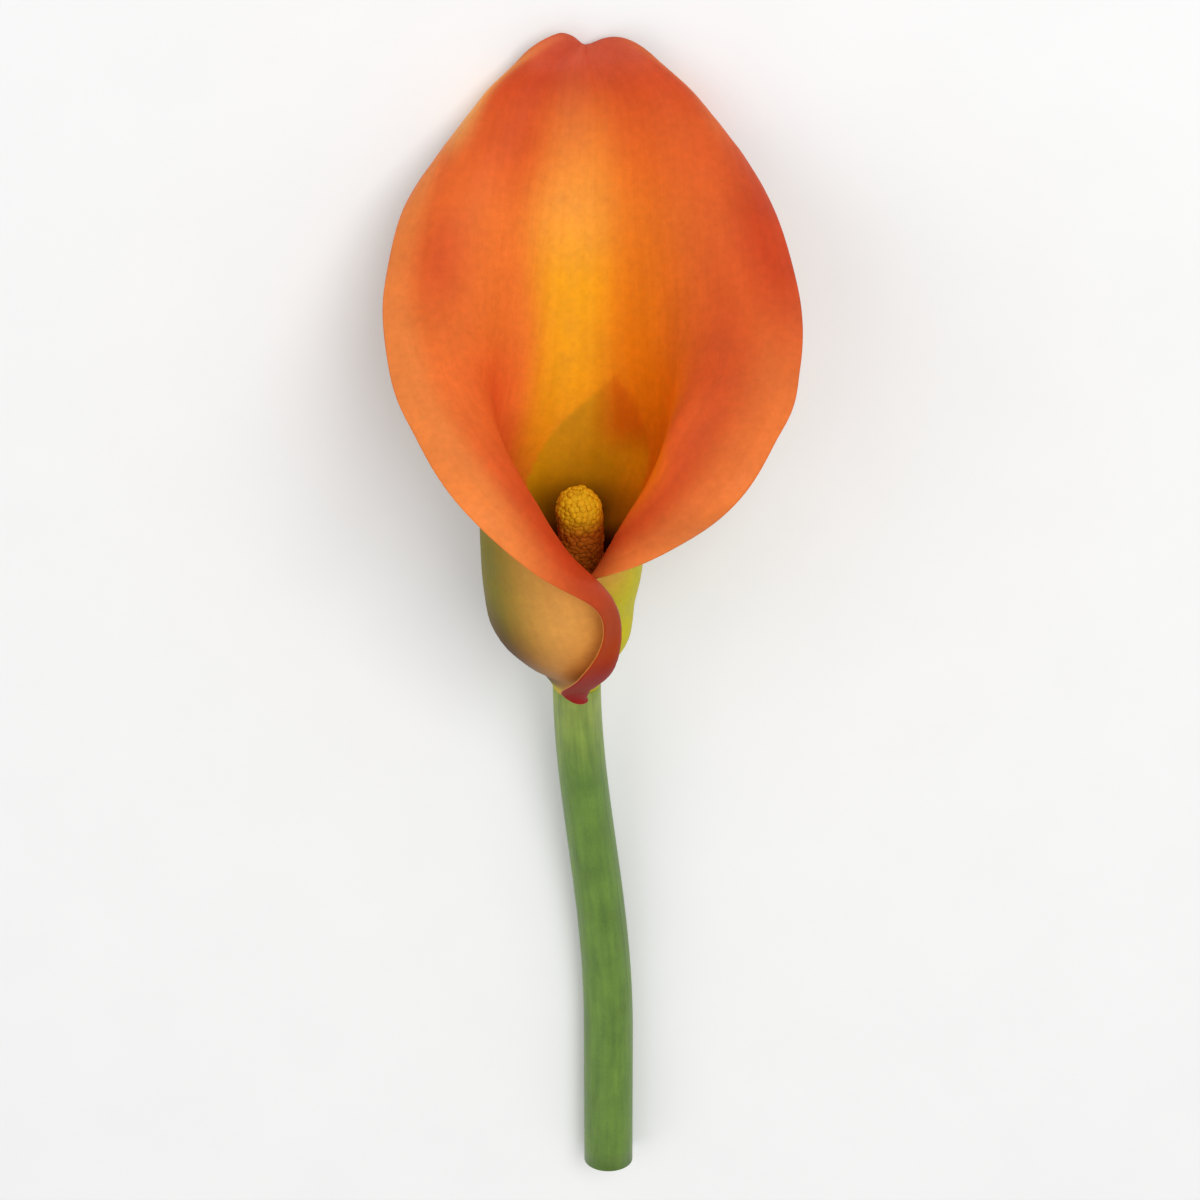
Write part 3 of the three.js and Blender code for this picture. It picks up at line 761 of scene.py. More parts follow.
# how far the top is drawn up each time, and how it is then resized
NECK_AND_KNOB = [(0.18, (0.62, 0.62, 0.4)), (0.16, (1.7, 1.7, 1)), (0.1, (0.6, 0.6, 1))]
ovary = start_from(bpy.ops.mesh.primitive_uv_sphere_add, "one_ovary",
                   segments=10, ring_count=7, radius=1)
bpy.ops.object.mode_set(mode="EDIT")
bpy.ops.mesh.select_mode(type="FACE")
bpy.ops.mesh.select_all(action="DESELECT")
bpy.ops.object.mode_set(mode="OBJECT")
for polygon in ovary.data.polygons:
    polygon.select = polygon.center.z > TOP_FACES
bpy.ops.object.mode_set(mode="EDIT")
for lift, widening in NECK_AND_KNOB:
    bpy.ops.mesh.extrude_region_move(TRANSFORM_OT_translate={"value": (0, 0, lift)})
    bpy.ops.transform.resize(value=widening)
bpy.ops.object.mode_set(mode="OBJECT")
print("one ovary has", len(ovary.data.polygons), "faces")

# %% Set the ovaries on their foot
FIRST_ROW = 3.05  # mm above the stalk's end
ROWS_HEIGHT = 7.4
FOOT_RADIUS = 1.85  # mm, of the circle on which the lowest ovaries stand
RADIUS_GAIN = 0.35
FEMALE_AROUND = 9
FEMALE_ROWS = 7
OVARY_SIZE = 0.82
OVARY_SIZES = (0.9, 1.05)
OVARY_LEAN = 0.25  # radians towards the tip
OVARY_JITTER = 0.08  # share of the pitch
OVARY_SPIN = 6  # radians

# (mm above the stalk's end, radius in mm)
stipe_stations = [(SEAT_GAP, 2.3), (1.0, 2.05), (2.0, 2.0), (4.0, 2.0), (7.5, 2.1), (10.6, 2.3),
                  (11.3, 2.4), (MALE_FOOT + 0.2, 2.45)]
stipe = draw_out("stipe", [spadix_axis(h) for h, _ in stipe_stations],
                 [radius for _, radius in stipe_stations], CORE_SIDES)
matrices = []
for row in range(FEMALE_ROWS):
    share = row / (FEMALE_ROWS - 1)
    height = FIRST_ROW + ROWS_HEIGHT * share
    radius = FOOT_RADIUS + RADIUS_GAIN * share
    for k in range(FEMALE_AROUND):
        angle = 2 * math.pi * (k + 0.5 * (row % 2) + draw.uniform(-OVARY_JITTER, OVARY_JITTER))
        angle /= FEMALE_AROUND
        size = OVARY_SIZE * draw.uniform(*OVARY_SIZES)
        spin = draw.uniform(0, OVARY_SPIN)
        matrices.append(grown_outward(height, radius, angle, OVARY_LEAN, size, spin))
ovaries = stamp("ovaries", ovary, matrices)
bpy.data.objects.remove(ovary)
female_zone = join("ovary_spadix", [stipe, ovaries])
lay_in_place(female_zone)
print("the female zone carries", len(matrices), "ovaries")

# %% [markdown]
# ## The stalk
#
# The stalk leaves the tube along its axis, sinks in one arc to the table and lies straight on
# its last stretch. It is drawn out like the core, starting at the cut end: each ring is
# extruded, swelled or thinned and turned with the arc. Above, it ends in a low dome just inside
# the tube, so that leaf, spadix and stalk look grown together.

# %% Draw out the stalk
STEM_TOP_RADIUS = 3.85  # mm
STEM_END_RADIUS = 4.25  # mm: the stalk's axis lies this high above the table
STEM_FLAT_LENGTH = 26  # mm
STEM_BOW = 5  # mm that it drifts sideways from the tube to the cut
ARC_RINGS = 44
FLAT_RINGS = 8
STEM_SIDES = 56
DOME_ALONGS = [-0.35, -0.7, -0.95, -1.05]  # mm, the low dome inside the tube
DOME_RADII = [3.35, 2.9, 2.2, 1.0]
stem_low, stem_high = (np.array(corner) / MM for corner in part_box("stem"))
foot_mm = tube_foot / MM
drop = foot_mm[2] - STEM_END_RADIUS
arc_radius = drop / (1 - math.cos(TUBE_RISE))
arc_length = arc_radius * TUBE_RISE


def stalk_axis(along):
    """A point of the stalk's axis and its slope, this many mm below the tube's foot."""
    on_arc = min(max(along, 0), arc_length)
    slope = TUBE_RISE - on_arc / arc_radius
    straight = along - on_arc
    point = foot_mm + np.array([
        STEM_BOW * (1 - math.cos(math.pi * on_arc / arc_length)) / 2,
        -arc_radius * (math.sin(TUBE_RISE) - math.sin(slope)) - straight * math.cos(slope),
        -drop + arc_radius * (1 - math.cos(slope)) - straight * math.sin(slope) * (along < 0),
    ])
    return point, slope


stem_length = arc_length + STEM_FLAT_LENGTH
alongs = list(np.linspace(stem_length, stem_length - STEM_FLAT_LENGTH, FLAT_RINGS))
alongs += list(np.linspace(arc_length, 0, ARC_RINGS + 1)[1:])
radii = [STEM_TOP_RADIUS + (STEM_END_RADIUS - STEM_TOP_RADIUS) * min(1, a / arc_length)
         for a in alongs]
alongs += DOME_ALONGS
radii += DOME_RADII
stations = [stalk_axis(a) for a in alongs]
stalk = draw_out("flower_stalk", [point for point, _ in stations], radii, STEM_SIDES,
                 [slope - math.pi / 2 for _, slope in stations])
stalk_box = points_of(stalk) / MM
print("stalk in mm:", np.round(stalk_box.min(0), 2), np.round(stalk_box.max(0), 2))
print("construction's:", np.round(stem_low, 2), np.round(stem_high, 2))

# %% [markdown]
# ### The cut end
#
# A fresh cut shows a thin green skin round pale, spongy flesh that is full of fine air canals.
# The end face is inset for the skin and sunk a little, and then inset again and again, which
# gives the flesh rings of small faces. Its vertices are then pushed in wherever a canal opens,
# by a rule that packs the canals as a honeycomb.

# %% Open up the cut end
SKIN_THICKNESS = 0.45  # mm
FLESH_RECESS = 0.12  # mm that the flesh lies below the skin's edge
FLESH_RINGS = 22
RECESS_RIM = 0.08  # mm, the sloping edge of the recess
RINGS_ROOM = STEM_END_RADIUS - SKIN_THICKNESS - 0.1  # mm that the rings share
PLANE_REACH = 0.01  # mm from the plane of the cut that still counts as on it
cut_y = stalk_box.min(0)[1]

pick_up(stalk)
bpy.ops.object.mode_set(mode="EDIT")
bpy.ops.mesh.select_mode(type="FACE")
bpy.ops.mesh.select_all(action="DESELECT")
bpy.ops.object.mode_set(mode="OBJECT")
for polygon in stalk.data.polygons:
    at_cut = abs(polygon.center.y / MM - cut_y) < PLANE_REACH
    polygon.select = at_cut and len(polygon.vertices) == STEM_SIDES
bpy.ops.object.mode_set(mode="EDIT")
bpy.ops.mesh.inset(thickness=SKIN_THICKNESS * MM, depth=0)
bpy.ops.mesh.inset(thickness=RECESS_RIM * MM, depth=-FLESH_RECESS * MM)
for _ in range(FLESH_RINGS):
    bpy.ops.mesh.inset(thickness=RINGS_ROOM / (FLESH_RINGS + 1) * MM, depth=0)
bpy.ops.mesh.poke()
bpy.ops.object.mode_set(mode="OBJECT")
print("the cut end has", FLESH_RINGS, "rings of flesh inside its skin")

# %% Push in the air canals
CANAL_PITCH = 0.62  # mm
CANAL_DEPTH = 0.16
CANAL_WIDTH = 0.3  # share of the pitch
CANAL_ROW = 0.866  # a honeycomb's rows lie this share of the pitch apart
FLESH_SWELL = 0.3  # share of the recess by which the flesh bulges out again
FLESH_DEEPEST = FLESH_RECESS + 0.05  # mm from the plane of the cut
flesh_radius = STEM_END_RADIUS - SKIN_THICKNESS - 0.12
cut_middle = stations[0][0]


def canal_depth(x, z):
    """How deep the nearest canal is at a point of the cut, in mm."""
    row = round(z / (CANAL_PITCH * CANAL_ROW))
    shift = 0.5 * (row % 2)
    column = round(x / CANAL_PITCH - shift)
    dx = x - (column + shift) * CANAL_PITCH
    dz = z - row * CANAL_PITCH * CANAL_ROW
    return CANAL_DEPTH * math.exp(-((math.hypot(dx, dz) / (CANAL_WIDTH * CANAL_PITCH)) ** 2))


for vertex in stalk.data.vertices:
    x, y, z = np.array(vertex.co) / MM - cut_middle
    radius = math.hypot(x, z)
    if y < FLESH_DEEPEST and radius < flesh_radius:
        swell = FLESH_SWELL * (1 - (radius / flesh_radius) ** 2)
        vertex.co.y += (canal_depth(x, z) - swell * FLESH_RECESS) * MM
print("the canals are", CANAL_DEPTH, "mm deep and", CANAL_PITCH, "mm apart")

# %% [markdown]
# ### Lines along the stalk
#
# The stalk's finish follows its length, so it gets a UV map: V runs along it and U round it. On
# the one strip of faces where U jumps from the end of a turn to its start, a full turn is added,
# so that the pattern closes without a seam. A mask marks the cut flesh.

# %% Write the stalk's UV map and its mask
AXIS_SAMPLES = 400
MASK_DEPTH = 0.4  # mm from the plane of the cut
MASK_RADIUS = flesh_radius + 0.2
coordinates = points_of(stalk) / MM
axis_alongs = np.linspace(DOME_ALONGS[-1], stem_length, AXIS_SAMPLES)
axis_points = np.array([stalk_axis(a)[0] for a in axis_alongs])
nearest = ((coordinates[:, None, 1] - axis_points[None, :, 1]) ** 2).argmin(1)
along = axis_alongs[nearest]
offset = coordinates - axis_points[nearest]
around = np.arctan2(offset[:, 0], offset[:, 2]) / (2 * math.pi) + 0.5
stalk_uv = stalk.data.uv_layers[0]
stalk_uv.name = "stalk_lines"
for polygon in stalk.data.polygons:
    turns = [around[stalk.data.loops[loop].vertex_index] for loop in polygon.loop_indices]
    crosses = max(turns) - min(turns) > 0.5
    for loop, turn in zip(polygon.loop_indices, turns):
        index = stalk.data.loops[loop].vertex_index
        stalk_uv.data[loop].uv = (turn + (crosses and turn < 0.5), along[index] / stem_length)
near_cut = coordinates[:, 1] < cut_y + MASK_DEPTH
near_axis = np.hypot(offset[:, 0], offset[:, 2]) < MASK_RADIUS
save_mask(stalk, "flesh", (near_cut & near_axis).astype(float))
print("the stalk's finish runs over", round(stem_length, 1), "mm")

# %% [markdown]
# ## Where the photographer stands
#
# The photograph looks down into the open throat. For a flower that lies on its back this means
# a camera high above it, leaning 15 degrees past the vertical towards the tip, with the tip at
# the top of the picture. The camera's place is worked out from the photograph: there the foot
# of the tube sits at one pixel, and one pixel is 0.17 mm. Only its aim is lowered, so that the
# stalk is in the picture too, and the lens is the longest that still shows the whole flower.

# %% Place the camera
SIGHT_TILT = math.radians(75)  # above the table's plane
PHOTO_PIXELS = 1200
MM_PER_PIXEL = 0.17
FOOT_PIXEL = (564, 946)  # the foot of the tube in the photograph
VIEW_DISTANCE = 420  # mm from the camera to the plane that the scale holds for
SCALE_DEPTH = 8  # mm from the tube's foot to that plane
FRAME_SHARE = 0.93  # how much of the picture's height the flower may fill
TIP_HEIGHT = 12  # mm of the leaf's farthest point above the table
SENSOR = 36

toward_camera = Vector((0, math.cos(SIGHT_TILT), math.sin(SIGHT_TILT)))
picture_up = Vector((0, math.sin(SIGHT_TILT), -math.cos(SIGHT_TILT)))
sideways = (PHOTO_PIXELS / 2 - FOOT_PIXEL[0]) * MM_PER_PIXEL
upwards = (FOOT_PIXEL[1] - PHOTO_PIXELS / 2) * MM_PER_PIXEL
eye = (Vector(tube_foot) + Vector((sideways, 0, 0)) * MM + picture_up * upwards * MM
       + toward_camera * (VIEW_DISTANCE + SCALE_DEPTH) * MM)
far_end = Vector(cut_middle * MM)
tip = Vector((0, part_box("spathe")[1].y, TIP_HEIGHT * MM))
back = ((eye - far_end).normalized() + (eye - tip).normalized()).normalized()
right = picture_up.cross(back).normalized()
half_angle = (eye - tip).angle(eye - far_end) / 2

camera = bpy.data.objects.new("camera", bpy.data.cameras.new("camera"))
bpy.context.scene.collection.objects.link(camera)
camera.matrix_world = Matrix.Translation(eye) @ Matrix(
    (right, back.cross(right), back)).transposed().to_4x4()
camera.data.sensor_width = SENSOR
camera.data.lens = SENSOR / 2 * FRAME_SHARE / math.tan(half_angle)
camera.data.clip_start = 0.01
bpy.context.scene.camera = camera
print("camera at", tuple(round(c, 3) for c in eye))
print("its lens is", round(camera.data.lens, 1), "mm long")

# %% [markdown]
# ## Table and light
#
# The flower is the subject, so the table is a plain pale plane and the light is soft: one area
# light high on the right, where the photograph's light comes from, a larger and weaker one from
# the left to open the shadows, and a pale sky.

# %% Build the table and the studio light
FLOWER_MIDDLE = (0, 0.04, 0.02)  # metres
SKY_STRENGTH = 0.56
table = start_from(bpy.ops.mesh.primitive_plane_add, "table", size=4)
table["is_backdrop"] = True


def area_light(name, place, size, power):
    """A square area light that looks at the flower's middle."""
    lamp = bpy.data.objects.new(name, bpy.data.lights.new(name, "AREA"))
    bpy.context.scene.collection.objects.link(lamp)
    lamp.location = place
    away = Vector(place) - Vector(FLOWER_MIDDLE)
    lamp.rotation_euler = away.to_track_quat("Z", "Y").to_euler()
    lamp.data.size = size
    lamp.data.energy = power


area_light("key_light", place=(0.28, 0.36, 0.92), size=0.6, power=5.5)
area_light("fill_light", place=(-0.65, -0.1, 0.75), size=0.9, power=1.8)
sky = bpy.data.worlds.new("sky")
bpy.context.scene.world = sky
sky.use_nodes = True
sky.node_tree.nodes["Background"].inputs["Color"].default_value = (1.0, 1.0, 1.0, 1)
sky.node_tree.nodes["Background"].inputs["Strength"].default_value = SKY_STRENGTH
bpy.context.scene.view_settings.view_transform = "Standard"
print("two soft lights and a pale sky of strength", SKY_STRENGTH)

# %% [markdown]
# ## Mixing colours with nodes
#
# Every finish below is a small tree of nodes. A few helpers keep the trees readable. The first
# ones add a node and plug in its inputs, whether they are numbers or other nodes' outputs. The
# next ones lay colours over one another by masks and stretch a noise to the range that is
# wanted. Colours are written as they look on screen, and turned into the linear values that
# light works with.

# %% Helpers for shader nodes
def seen(red, green, blue):
    """A colour as it looks on screen, from 0 to 255, as linear light."""
    channels = [channel / 255 for channel in (red, green, blue)]
    linear = [c / 12.92 if c <= 0.04045 else ((c + 0.055) / 1.055) ** 2.4 for c in channels]
    return (*linear, 1.0)


def plug_in(tree, made, inputs):
    """Plugs numbers or other nodes' outputs into inputs, given by name or by number."""
    for socket, value in inputs.items():
        if isinstance(value, bpy.types.NodeSocket):
            tree.links.new(value, made.inputs[socket])
        else:
            made.inputs[socket].default_value = value


def node(tree, kind, inputs=None, **settings):
    """Adds a node, sets its options and plugs in its inputs."""
    made = tree.nodes.new("ShaderNode" + kind)
    for option, value in settings.items():
        setattr(made, option, value)
    plug_in(tree, made, inputs or {})
    return made


def maths(tree, operation, *terms):
    """One sum, as the output of a Math node."""
    return node(tree, "Math", dict(enumerate(terms)), operation=operation).outputs[0]


def ramp(tree, value, start, end, low=0.0, high=1.0):
    """A value that runs from start to end, turned into one that runs from low to high."""
    return node(tree, "MapRange", {0: value, 1: start, 2: end, 3: low, 4: high}).outputs[0]


NOISE_RANGE = (0.3, 0.7)  # nearly all of a noise lies between these


def spread(tree, noise, low, high):
    """A noise, stretched to run from low to high."""
    return ramp(tree, noise, *NOISE_RANGE, low, high)


def mix(tree, mask, below, above, blend="MIX"):
    """The colour below, with the colour above laid over it where the mask is 1."""
    made = node(tree, "Mix", {0: mask, 6: below, 7: above}, data_type="RGBA", blend_type=blend)
    return made.outputs[2]


def tint(tree, colour, factor):
    """The colour, made darker or lighter by a factor near 1."""
    return mix(tree, 1.0, colour, factor, "MULTIPLY")


def layers(tree, colour, stack):
    """The colour, with each colour of the stack laid over it by the mask named beside it."""
    for name, above in stack:
        mask = node(tree, "Attribute", attribute_name=name).outputs["Fac"]
        colour = mix(tree, mask, colour, above)
    return colour


print("ready to mix colours")

# %% [markdown]
# ### Groups and materials
#
# An effect that several finishes share is a node group with named inputs. Every material starts
# as a bare Principled shader, and three more helpers raise its skin, let light into its flesh
# and put it on a piece.

# %% Helpers for node groups and materials
def new_group(name, inputs, outputs):
    """A shader node group with named inputs {name: default} and float outputs."""
    group = bpy.data.node_groups.new(name, "ShaderNodeTree")
    for socket, default in inputs.items():
        kind = "NodeSocketVector" if isinstance(default, tuple) else "NodeSocketFloat"
        made = group.interface.new_socket(socket, in_out="INPUT", socket_type=kind)
        made.default_value = default
    for socket in outputs:
        group.interface.new_socket(socket, in_out="OUTPUT", socket_type="NodeSocketFloat")
    return group, group.nodes.new("NodeGroupInput").outputs, group.nodes.new("NodeGroupOutput")


def use_group(tree, group, inputs):
    """Places a node group in a tree and returns its outputs."""
    return node(tree, "Group", inputs, node_tree=group).outputs


def new_material(name):
    """An empty material with its Principled shader plugged in."""
    made = bpy.data.materials.new(name)
    made.use_nodes = True
    tree = made.node_tree
    tree.nodes.clear()
    shader = node(tree, "BsdfPrincipled")
    node(tree, "OutputMaterial", {"Surface": shader.outputs[0]})
    return made, tree, shader


def relief(tree, shader, height, strength, depth):
    """Raises the skin by a height from 0 to about 1; the depth is in mm."""
    bump = node(tree, "Bump", {"Strength": strength, "Distance": depth * MM, "Height": height})
    tree.links.new(bump.outputs[0], shader.inputs["Normal"])


def let_light_in(shader, weight, radius, depth):
    """Lets some light pass through the flesh, as far as the depth in mm."""
    shader.inputs["Subsurface Weight"].default_value = weight
    shader.inputs["Subsurface Radius"].default_value = radius
    shader.inputs["Subsurface Scale"].default_value = depth * MM


def finish_with(piece, material):
    """Gives a piece this material alone."""
    piece.data.materials.clear()
    piece.data.materials.append(material)
    print(material.name, "is on", piece.name, "with", len(material.node_tree.nodes), "nodes")


print("ready to make groups and materials")

# %% [markdown]
# ### Fleshy skin
#
# Petals, florets and stalk share one trait: their skin is made of plump, shining cells. Close
# up it is blotchy, dotted with pigment, and ever so slightly pebbled. One node group makes all
# three from the piece's own coordinates, and each finish chooses its scale.

# %% The skin of a plant, as a node group
PIGMENT = (0.52, 0.72)  # the part of the noise that shows as dots
skin, given, result = new_group("plant_skin", {
    "Blotches per metre": 180.0,
    "Cells per metre": 4000.0,
}, ["Blotch", "Dots", "Height"])
where = node(skin, "TexCoord").outputs["Object"]
broad = node(skin, "TexNoise", {"Vector": where, "Scale": given["Blotches per metre"],
                                "Detail": 4.0, "Roughness": 0.55})
dots = node(skin, "TexNoise", {"Vector": where, "Scale": given["Cells per metre"], "Detail": 2.0})
cells = node(skin, "TexVoronoi", {"Vector": where, "Scale": given["Cells per metre"]})
plug_in(skin, result, {
    "Blotch": broad.outputs[0],
    "Dots": ramp(skin, dots.outputs[0], *PIGMENT),
    "Height": maths(skin, "SUBTRACT", 1.0, cells.outputs["Distance"]),
})
print("node group:", skin.name)

# %% [markdown]
# ### Veins
#
# The veins of an arum's leaf, spathe and stalk all run lengthwise. This group draws them as thin
# lines of constant U on a UV map: a coarse set and a finer one between them, made a little
# uneven by a noise that is stretched along V.

# %% Lengthwise veins, as a node group
WANDER = 0.035  # share of the leaf's width by which a vein strays
FINE_VEINS = 3.0  # fine veins to each coarse one
FINE_STRENGTH = 0.45
veins, given, result = new_group("lengthwise_veins", {
    "Map": (0.0, 0.0, 0.0),
    "Veins": 40.0,
    "Stretch": 6.0,
}, ["Veins", "Streaks"])
line_map = node(veins, "SeparateXYZ", {0: given["Map"]}).outputs
wander = node(veins, "TexNoise", {"Vector": given["Map"], "Scale": given["Stretch"],
                                  "Detail": 2.0}).outputs[0]
shifted = maths(veins, "MULTIPLY_ADD", wander, WANDER, line_map[0])
turns = maths(veins, "MULTIPLY", shifted, given["Veins"])
coarse = maths(veins, "PINGPONG", turns, 1.0)
fine = maths(veins, "PINGPONG", maths(veins, "MULTIPLY", turns, FINE_VEINS), 1.0)
coarse_line = ramp(veins, coarse, 0.72, 1.0)
fine_line = ramp(veins, fine, 0.6, 1.0, high=FINE_STRENGTH)
stretched = node(veins, "CombineXYZ", {
    0: maths(veins, "MULTIPLY", line_map[0], given["Veins"]),
    1: maths(veins, "MULTIPLY", line_map[1], given["Stretch"]),
}).outputs[0]
streaks = node(veins, "TexNoise", {"Vector": stretched, "Scale": 1.0, "Detail": 3.0})
plug_in(veins, result, {
    "Veins": maths(veins, "MAXIMUM", coarse_line, fine_line),
    "Streaks": streaks.outputs[0],
})
print("node group:", veins.name)

# %% [markdown]
# ### The spathe's finish
#
# The masks that are saved in the mesh say where each colour lies, so the material only has to
# lay the colours over one another, from the plain red orange up to the maroon and painted shade
# of the deep throat. The back of the leaf is a second, simpler stack: pale orange on the blade,
# tan and yellow green on the tube, with a brown low on it that carries painted shade. Blotches,
# dots and veins break up both. The wax gives a soft satin shine, and a little light passes
# through the flesh.

# %% Paint the spathe
RED_ORANGE = seen(220, 95, 38)
ORANGE = seen(232, 121, 48)
BROWN_ORANGE = seen(224, 120, 4)
GOLD = seen(237, 163, 4)
PALE_GOLD = seen(240, 163, 54)
# rose of the flanks; along the left fold it is painted shade
ROSE = seen(196, 66, 26)
# rose of the tip, partly its own colour and partly a painted sheen
TIP_ROSE_AND_SHEEN = seen(194, 84, 60)
CREASE_RED = seen(238, 102, 46)
CREASE_BROWN = seen(252, 128, 12)
PALE_ORANGE = seen(231, 128, 58)
SHOULDER_ORANGE = seen(248, 172, 88)
OLIVE = seen(206, 146, 4)
LIT_OLIVE = seen(240, 158, 8)
TAWNY = seen(212, 104, 4)
# maroon of the throat's bottom, with painted shade in it
MAROON_AND_SHADE = seen(60, 14, 2)
FOLD_RED = seen(164, 56, 4)
FOLD_END_RED = seen(142, 12, 4)
BACK_ORANGE = seen(222, 148, 84)
OLIVE_SKIN = seen(122, 112, 20)
TAN = seen(218, 152, 72)
TUBE_GREEN = seen(192, 182, 16)
# brown low on the tube, with painted shade in it
TUBE_BROWN_AND_SHADE = seen(78, 46, 12)
BLADE_START = (0.3, 0.5)  # along, where the tube's outside turns into the blade's back

spathe_finish, tree, shader = new_material("spathe_skin")
skin_is = use_group(tree, skin, {"Blotches per metre": 160.0, "Cells per metre": 5200.0})
mottle_is = use_group(tree, skin, {"Blotches per metre": 760.0, "Cells per metre": 1500.0})
leaf_map = node(tree, "UVMap", uv_map="leaf_lines").outputs[0]
vein_is = use_group(tree, veins, {"Map": leaf_map, "Veins": 60.0, "Stretch": 5.0})
gold = layers(tree, GOLD, [("pale", PALE_GOLD)])
throat = layers(tree, OLIVE, [("lit", LIT_OLIVE), ("tawny", TAWNY)])
strip = layers(tree, FOLD_RED, [("strip_end", FOLD_END_RED)])
inside = layers(tree, RED_ORANGE, [
    ("warm", ORANGE), ("margin", PALE_ORANGE), ("blush_and_fold_shade", ROSE), ("crease", CREASE_RED),
    ("brown", CREASE_BROWN), ("shade", BROWN_ORANGE), ("shoulder", SHOULDER_ORANGE),
    ("tip_rose_and_sheen", TIP_ROSE_AND_SHEEN), ("glow", gold), ("throat", throat), ("deep", MAROON_AND_SHADE), ("strip", strip),
])
tube = layers(tree, OLIVE_SKIN, [("green", TUBE_GREEN), ("foot", TUBE_BROWN_AND_SHADE), ("tan", TAN)])
place_along = node(tree, "SeparateXYZ", {0: leaf_map}).outputs[1]
outside = mix(tree, ramp(tree, place_along, *BLADE_START), tube, BACK_ORANGE)
colour = layers(tree, inside, [("outside", outside)])
colour = tint(tree, colour, spread(tree, skin_is["Blotch"], 0.93, 1.06))
colour = tint(tree, colour, spread(tree, mottle_is["Blotch"], 0.94, 1.05))
colour = mix(tree, maths(tree, "MULTIPLY", mottle_is["Dots"], 0.08), colour, ROSE)
veined = maths(tree, "MULTIPLY", vein_is["Veins"], 0.03)
colour = mix(tree, veined, colour, RED_ORANGE, "MULTIPLY")
colour = tint(tree, colour, ramp(tree, vein_is["Streaks"], 0.35, 0.65, 0.98, 1.02))
tree.links.new(colour, shader.inputs["Base Color"])
raised = maths(tree, "MULTIPLY_ADD", vein_is["Veins"], 0.5, skin_is["Height"])
relief(tree, shader, raised, strength=0.25, depth=0.06)
satin = spread(tree, skin_is["Blotch"], 0.48, 0.6)
tree.links.new(satin, shader.inputs["Roughness"])
shader.inputs["Specular IOR Level"].default_value = 0.12
let_light_in(shader, weight=0.06, radius=(1.0, 0.4, 0.1), depth=1.0)
finish_with(leaf, spathe_finish)

# %% [markdown]
# ### The spadix's three finishes
#
# The anthers are golden near the tip and an orange brown lower down, a darkening that is partly
# their own colour and partly painted shade from the throat. The crumbs of pollen are a little
# brighter and quite matt, and darken the same way. The ovaries are pale green, and paler upwards.
# All three change with the height along the spadix: two Vector Math nodes measure the piece's own
# coordinates from the tube's foot and along its axis.

# %% A finish for florets
ROUGHNESS_GAIN = 0.15  # how much duller the skin is where it is blotched


def along_spadix(tree):
    """The height along the spadix in metres, above the stalk's end."""
    where = node(tree, "TexCoord").outputs["Object"]
    centred = node(tree, "VectorMath", {0: where, 1: tuple(tube_foot)}, operation="SUBTRACT")
    axis = tuple(lay_down.col[2][:3])
    height = node(tree, "VectorMath", {0: centred.outputs[0], 1: axis}, operation="DOT_PRODUCT")
    return height.outputs["Value"]


def floret_finish(name, low_colour, high_colour, heights, roughness):
    """A finish that changes from its low to its high colour between two heights in mm."""
    made, tree, shader = new_material(name)
    skin_is = use_group(tree, skin, {"Blotches per metre": 700.0, "Cells per metre": 9000.0})
    share = ramp(tree, along_spadix(tree), heights[0] * MM, heights[1] * MM)
    colour = mix(tree, share, low_colour, high_colour)
    colour = tint(tree, colour, spread(tree, skin_is["Blotch"], 0.92, 1.06))
    colour = mix(tree, maths(tree, "MULTIPLY", skin_is["Dots"], 0.1), colour, high_colour)
    tree.links.new(colour, shader.inputs["Base Color"])
    relief(tree, shader, skin_is["Height"], strength=0.4, depth=0.05)
    uneven = ramp(tree, skin_is["Blotch"], 0.0, 1.0, roughness, roughness + ROUGHNESS_GAIN)
    tree.links.new(uneven, shader.inputs["Roughness"])
    shader.inputs["Specular IOR Level"].default_value = 0.2
    let_light_in(shader, weight=0.12, radius=(1.0, 0.5, 0.15), depth=0.8)
    return made


print("ready to paint florets")

# %% Paint anthers, pollen and ovaries
GOLDEN_TIP = (33, 36.8)  # mm, the heights between which the anthers turn golden
OVARY_HEIGHTS = (2, 11)  # mm
# the darker low colours of anthers and pollen are partly their own and partly painted shade
anther_finish = floret_finish(
    "anther_skin", seen(172, 88, 4), seen(224, 170, 8), GOLDEN_TIP, roughness=0.6)
pollen_finish = floret_finish(
    "pollen_crumbs", seen(182, 96, 6), seen(230, 178, 14), GOLDEN_TIP, roughness=0.75)
ovary_finish = floret_finish(
    "ovary_skin", seen(150, 160, 78), seen(196, 190, 110), OVARY_HEIGHTS, roughness=0.45)
finish_with(male_zone, anther_finish)
finish_with(pollen, pollen_finish)
finish_with(female_zone, ovary_finish)

# %% [markdown]
# ### The stalk's finish
#
# The stalk is a fresh green, paler and yellower just under the flower, streaked lengthwise and
# finely speckled. Its cut flesh is almost white, with darker canals.

# %% Paint the stalk
STALK_GREEN = seen(98, 132, 44)
STALK_PALE = seen(150, 166, 70)
STALK_DARK = seen(66, 100, 32)
FLESH_WHITE = seen(214, 216, 170)
CANAL_GREEN = seen(128, 146, 86)

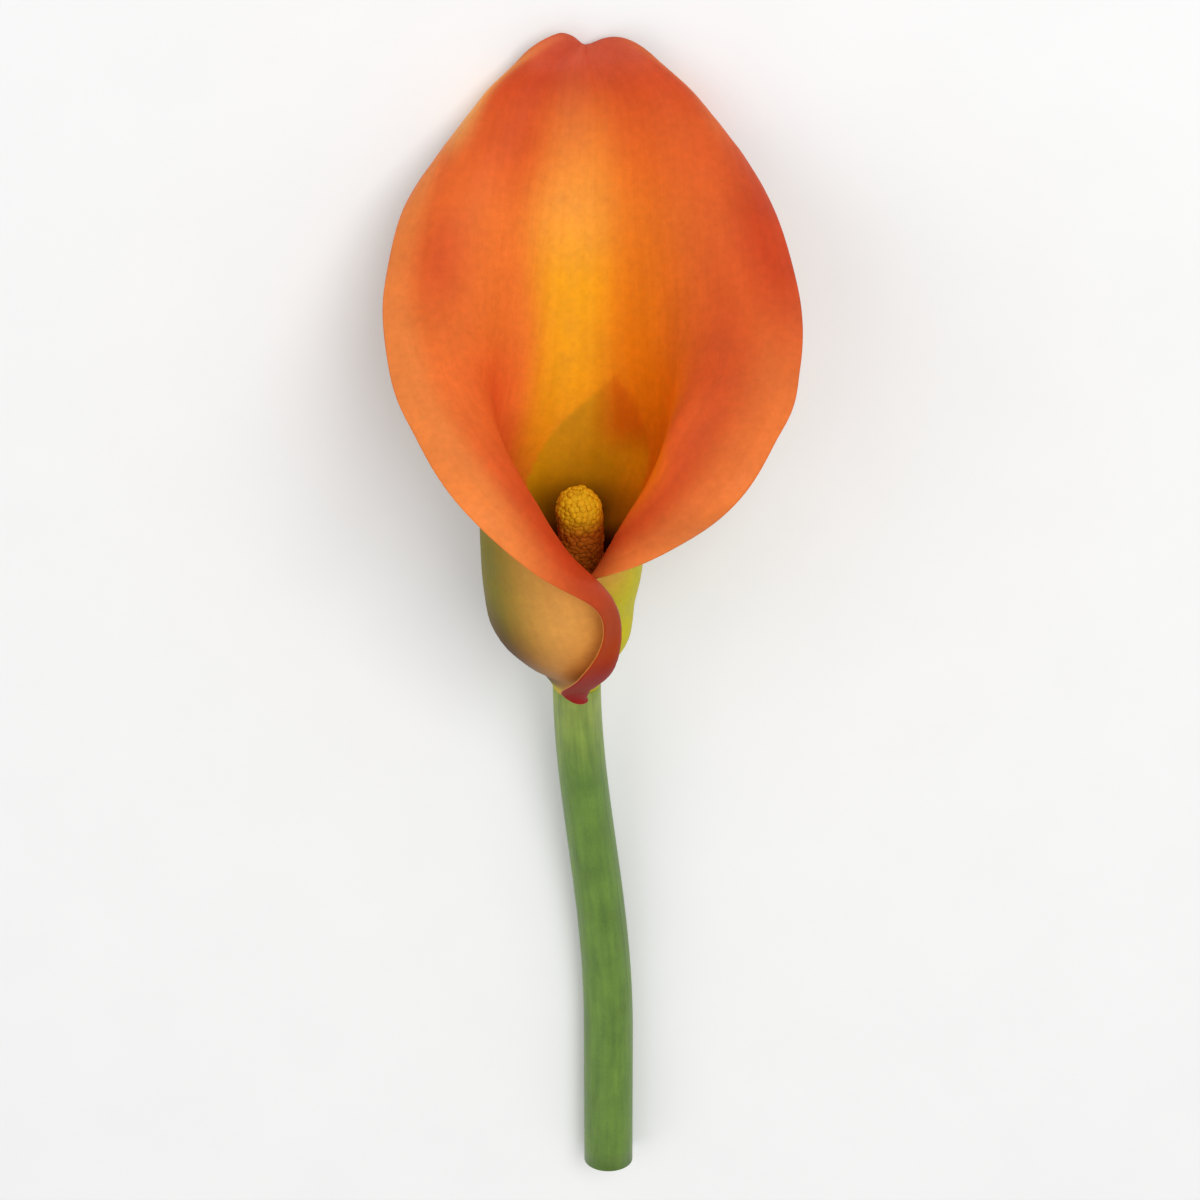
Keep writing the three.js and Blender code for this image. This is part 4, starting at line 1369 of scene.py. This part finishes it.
stalk_finish, tree, shader = new_material("stalk_skin")
skin_is = use_group(tree, skin, {"Blotches per metre": 220.0, "Cells per metre": 5000.0})
stalk_map = node(tree, "UVMap", uv_map="stalk_lines").outputs[0]
vein_is = use_group(tree, veins, {"Map": stalk_map, "Veins": 22.0, "Stretch": 9.0})
down = node(tree, "SeparateXYZ", {0: stalk_map}).outputs[1]
near_flower = ramp(tree, down, 0.2, 0.0)
colour = mix(tree, near_flower, STALK_GREEN, STALK_PALE)
streaked = ramp(tree, vein_is["Streaks"], 0.35, 0.7, high=0.55)
colour = mix(tree, streaked, colour, STALK_DARK)
colour = mix(tree, maths(tree, "MULTIPLY", skin_is["Dots"], 0.25), colour, STALK_PALE)
colour = tint(tree, colour, spread(tree, skin_is["Blotch"], 0.86, 1.1))
canals = ramp(tree, skin_is["Blotch"], 0.45, 0.62)
colour = layers(tree, colour, [("flesh", mix(tree, canals, FLESH_WHITE, CANAL_GREEN))])
tree.links.new(colour, shader.inputs["Base Color"])
raised = maths(tree, "MULTIPLY_ADD", vein_is["Veins"], 1.2, skin_is["Height"])
relief(tree, shader, raised, strength=0.35, depth=0.1)
tree.links.new(spread(tree, skin_is["Blotch"], 0.36, 0.5), shader.inputs["Roughness"])
let_light_in(shader, weight=0.1, radius=(0.5, 1.0, 0.2), depth=1.0)
finish_with(stalk, stalk_finish)

# %% [markdown]
# ### The table
#
# A plain pale matt surface, with just enough grain to look like one.

# %% Paint the table
table_finish, tree, shader = new_material("pale_table")
where = node(tree, "TexCoord").outputs["Object"]
grain = node(tree, "TexNoise", {"Vector": where, "Scale": 60.0})
tree.links.new(ramp(tree, grain.outputs[0], 0.0, 1.0, 0.84, 0.87), shader.inputs["Base Color"])
shader.inputs["Roughness"].default_value = 0.9
finish_with(table, table_finish)

# %% [markdown]
# ## Joining the construction model
#
# Each finished piece hides the construction solid that it stands for, if it has one. Nothing on
# a flower turns or slides, so every piece rides on the one body, called root.

# %% Put the pieces on the root body
for piece, nodes, slot in (
    (leaf, ["spathe"], "spathe"),
    (male_zone, ["spadix_male_zone"], "spadix_pollen"),
    (pollen, [], "spadix_pollen"),
    (female_zone, ["spadix_female_zone"], "spadix_ovaries"),
    (stalk, ["stem"], "stem"),
):
    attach(piece, "root")
    if nodes:
        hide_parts(*nodes)
    print(piece.name, "has", len(piece.data.polygons), "faces and stands for", nodes or "itself")

# %% [markdown]
# ## A last look at the size
#
# The finished flower's size is printed, in mm.

# %% Print the finished size
visual_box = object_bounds()
finished_size = visual_box[1] - visual_box[0]
print("the finished flower in mm:", [round(1000 * side, 1) for side in finished_size])
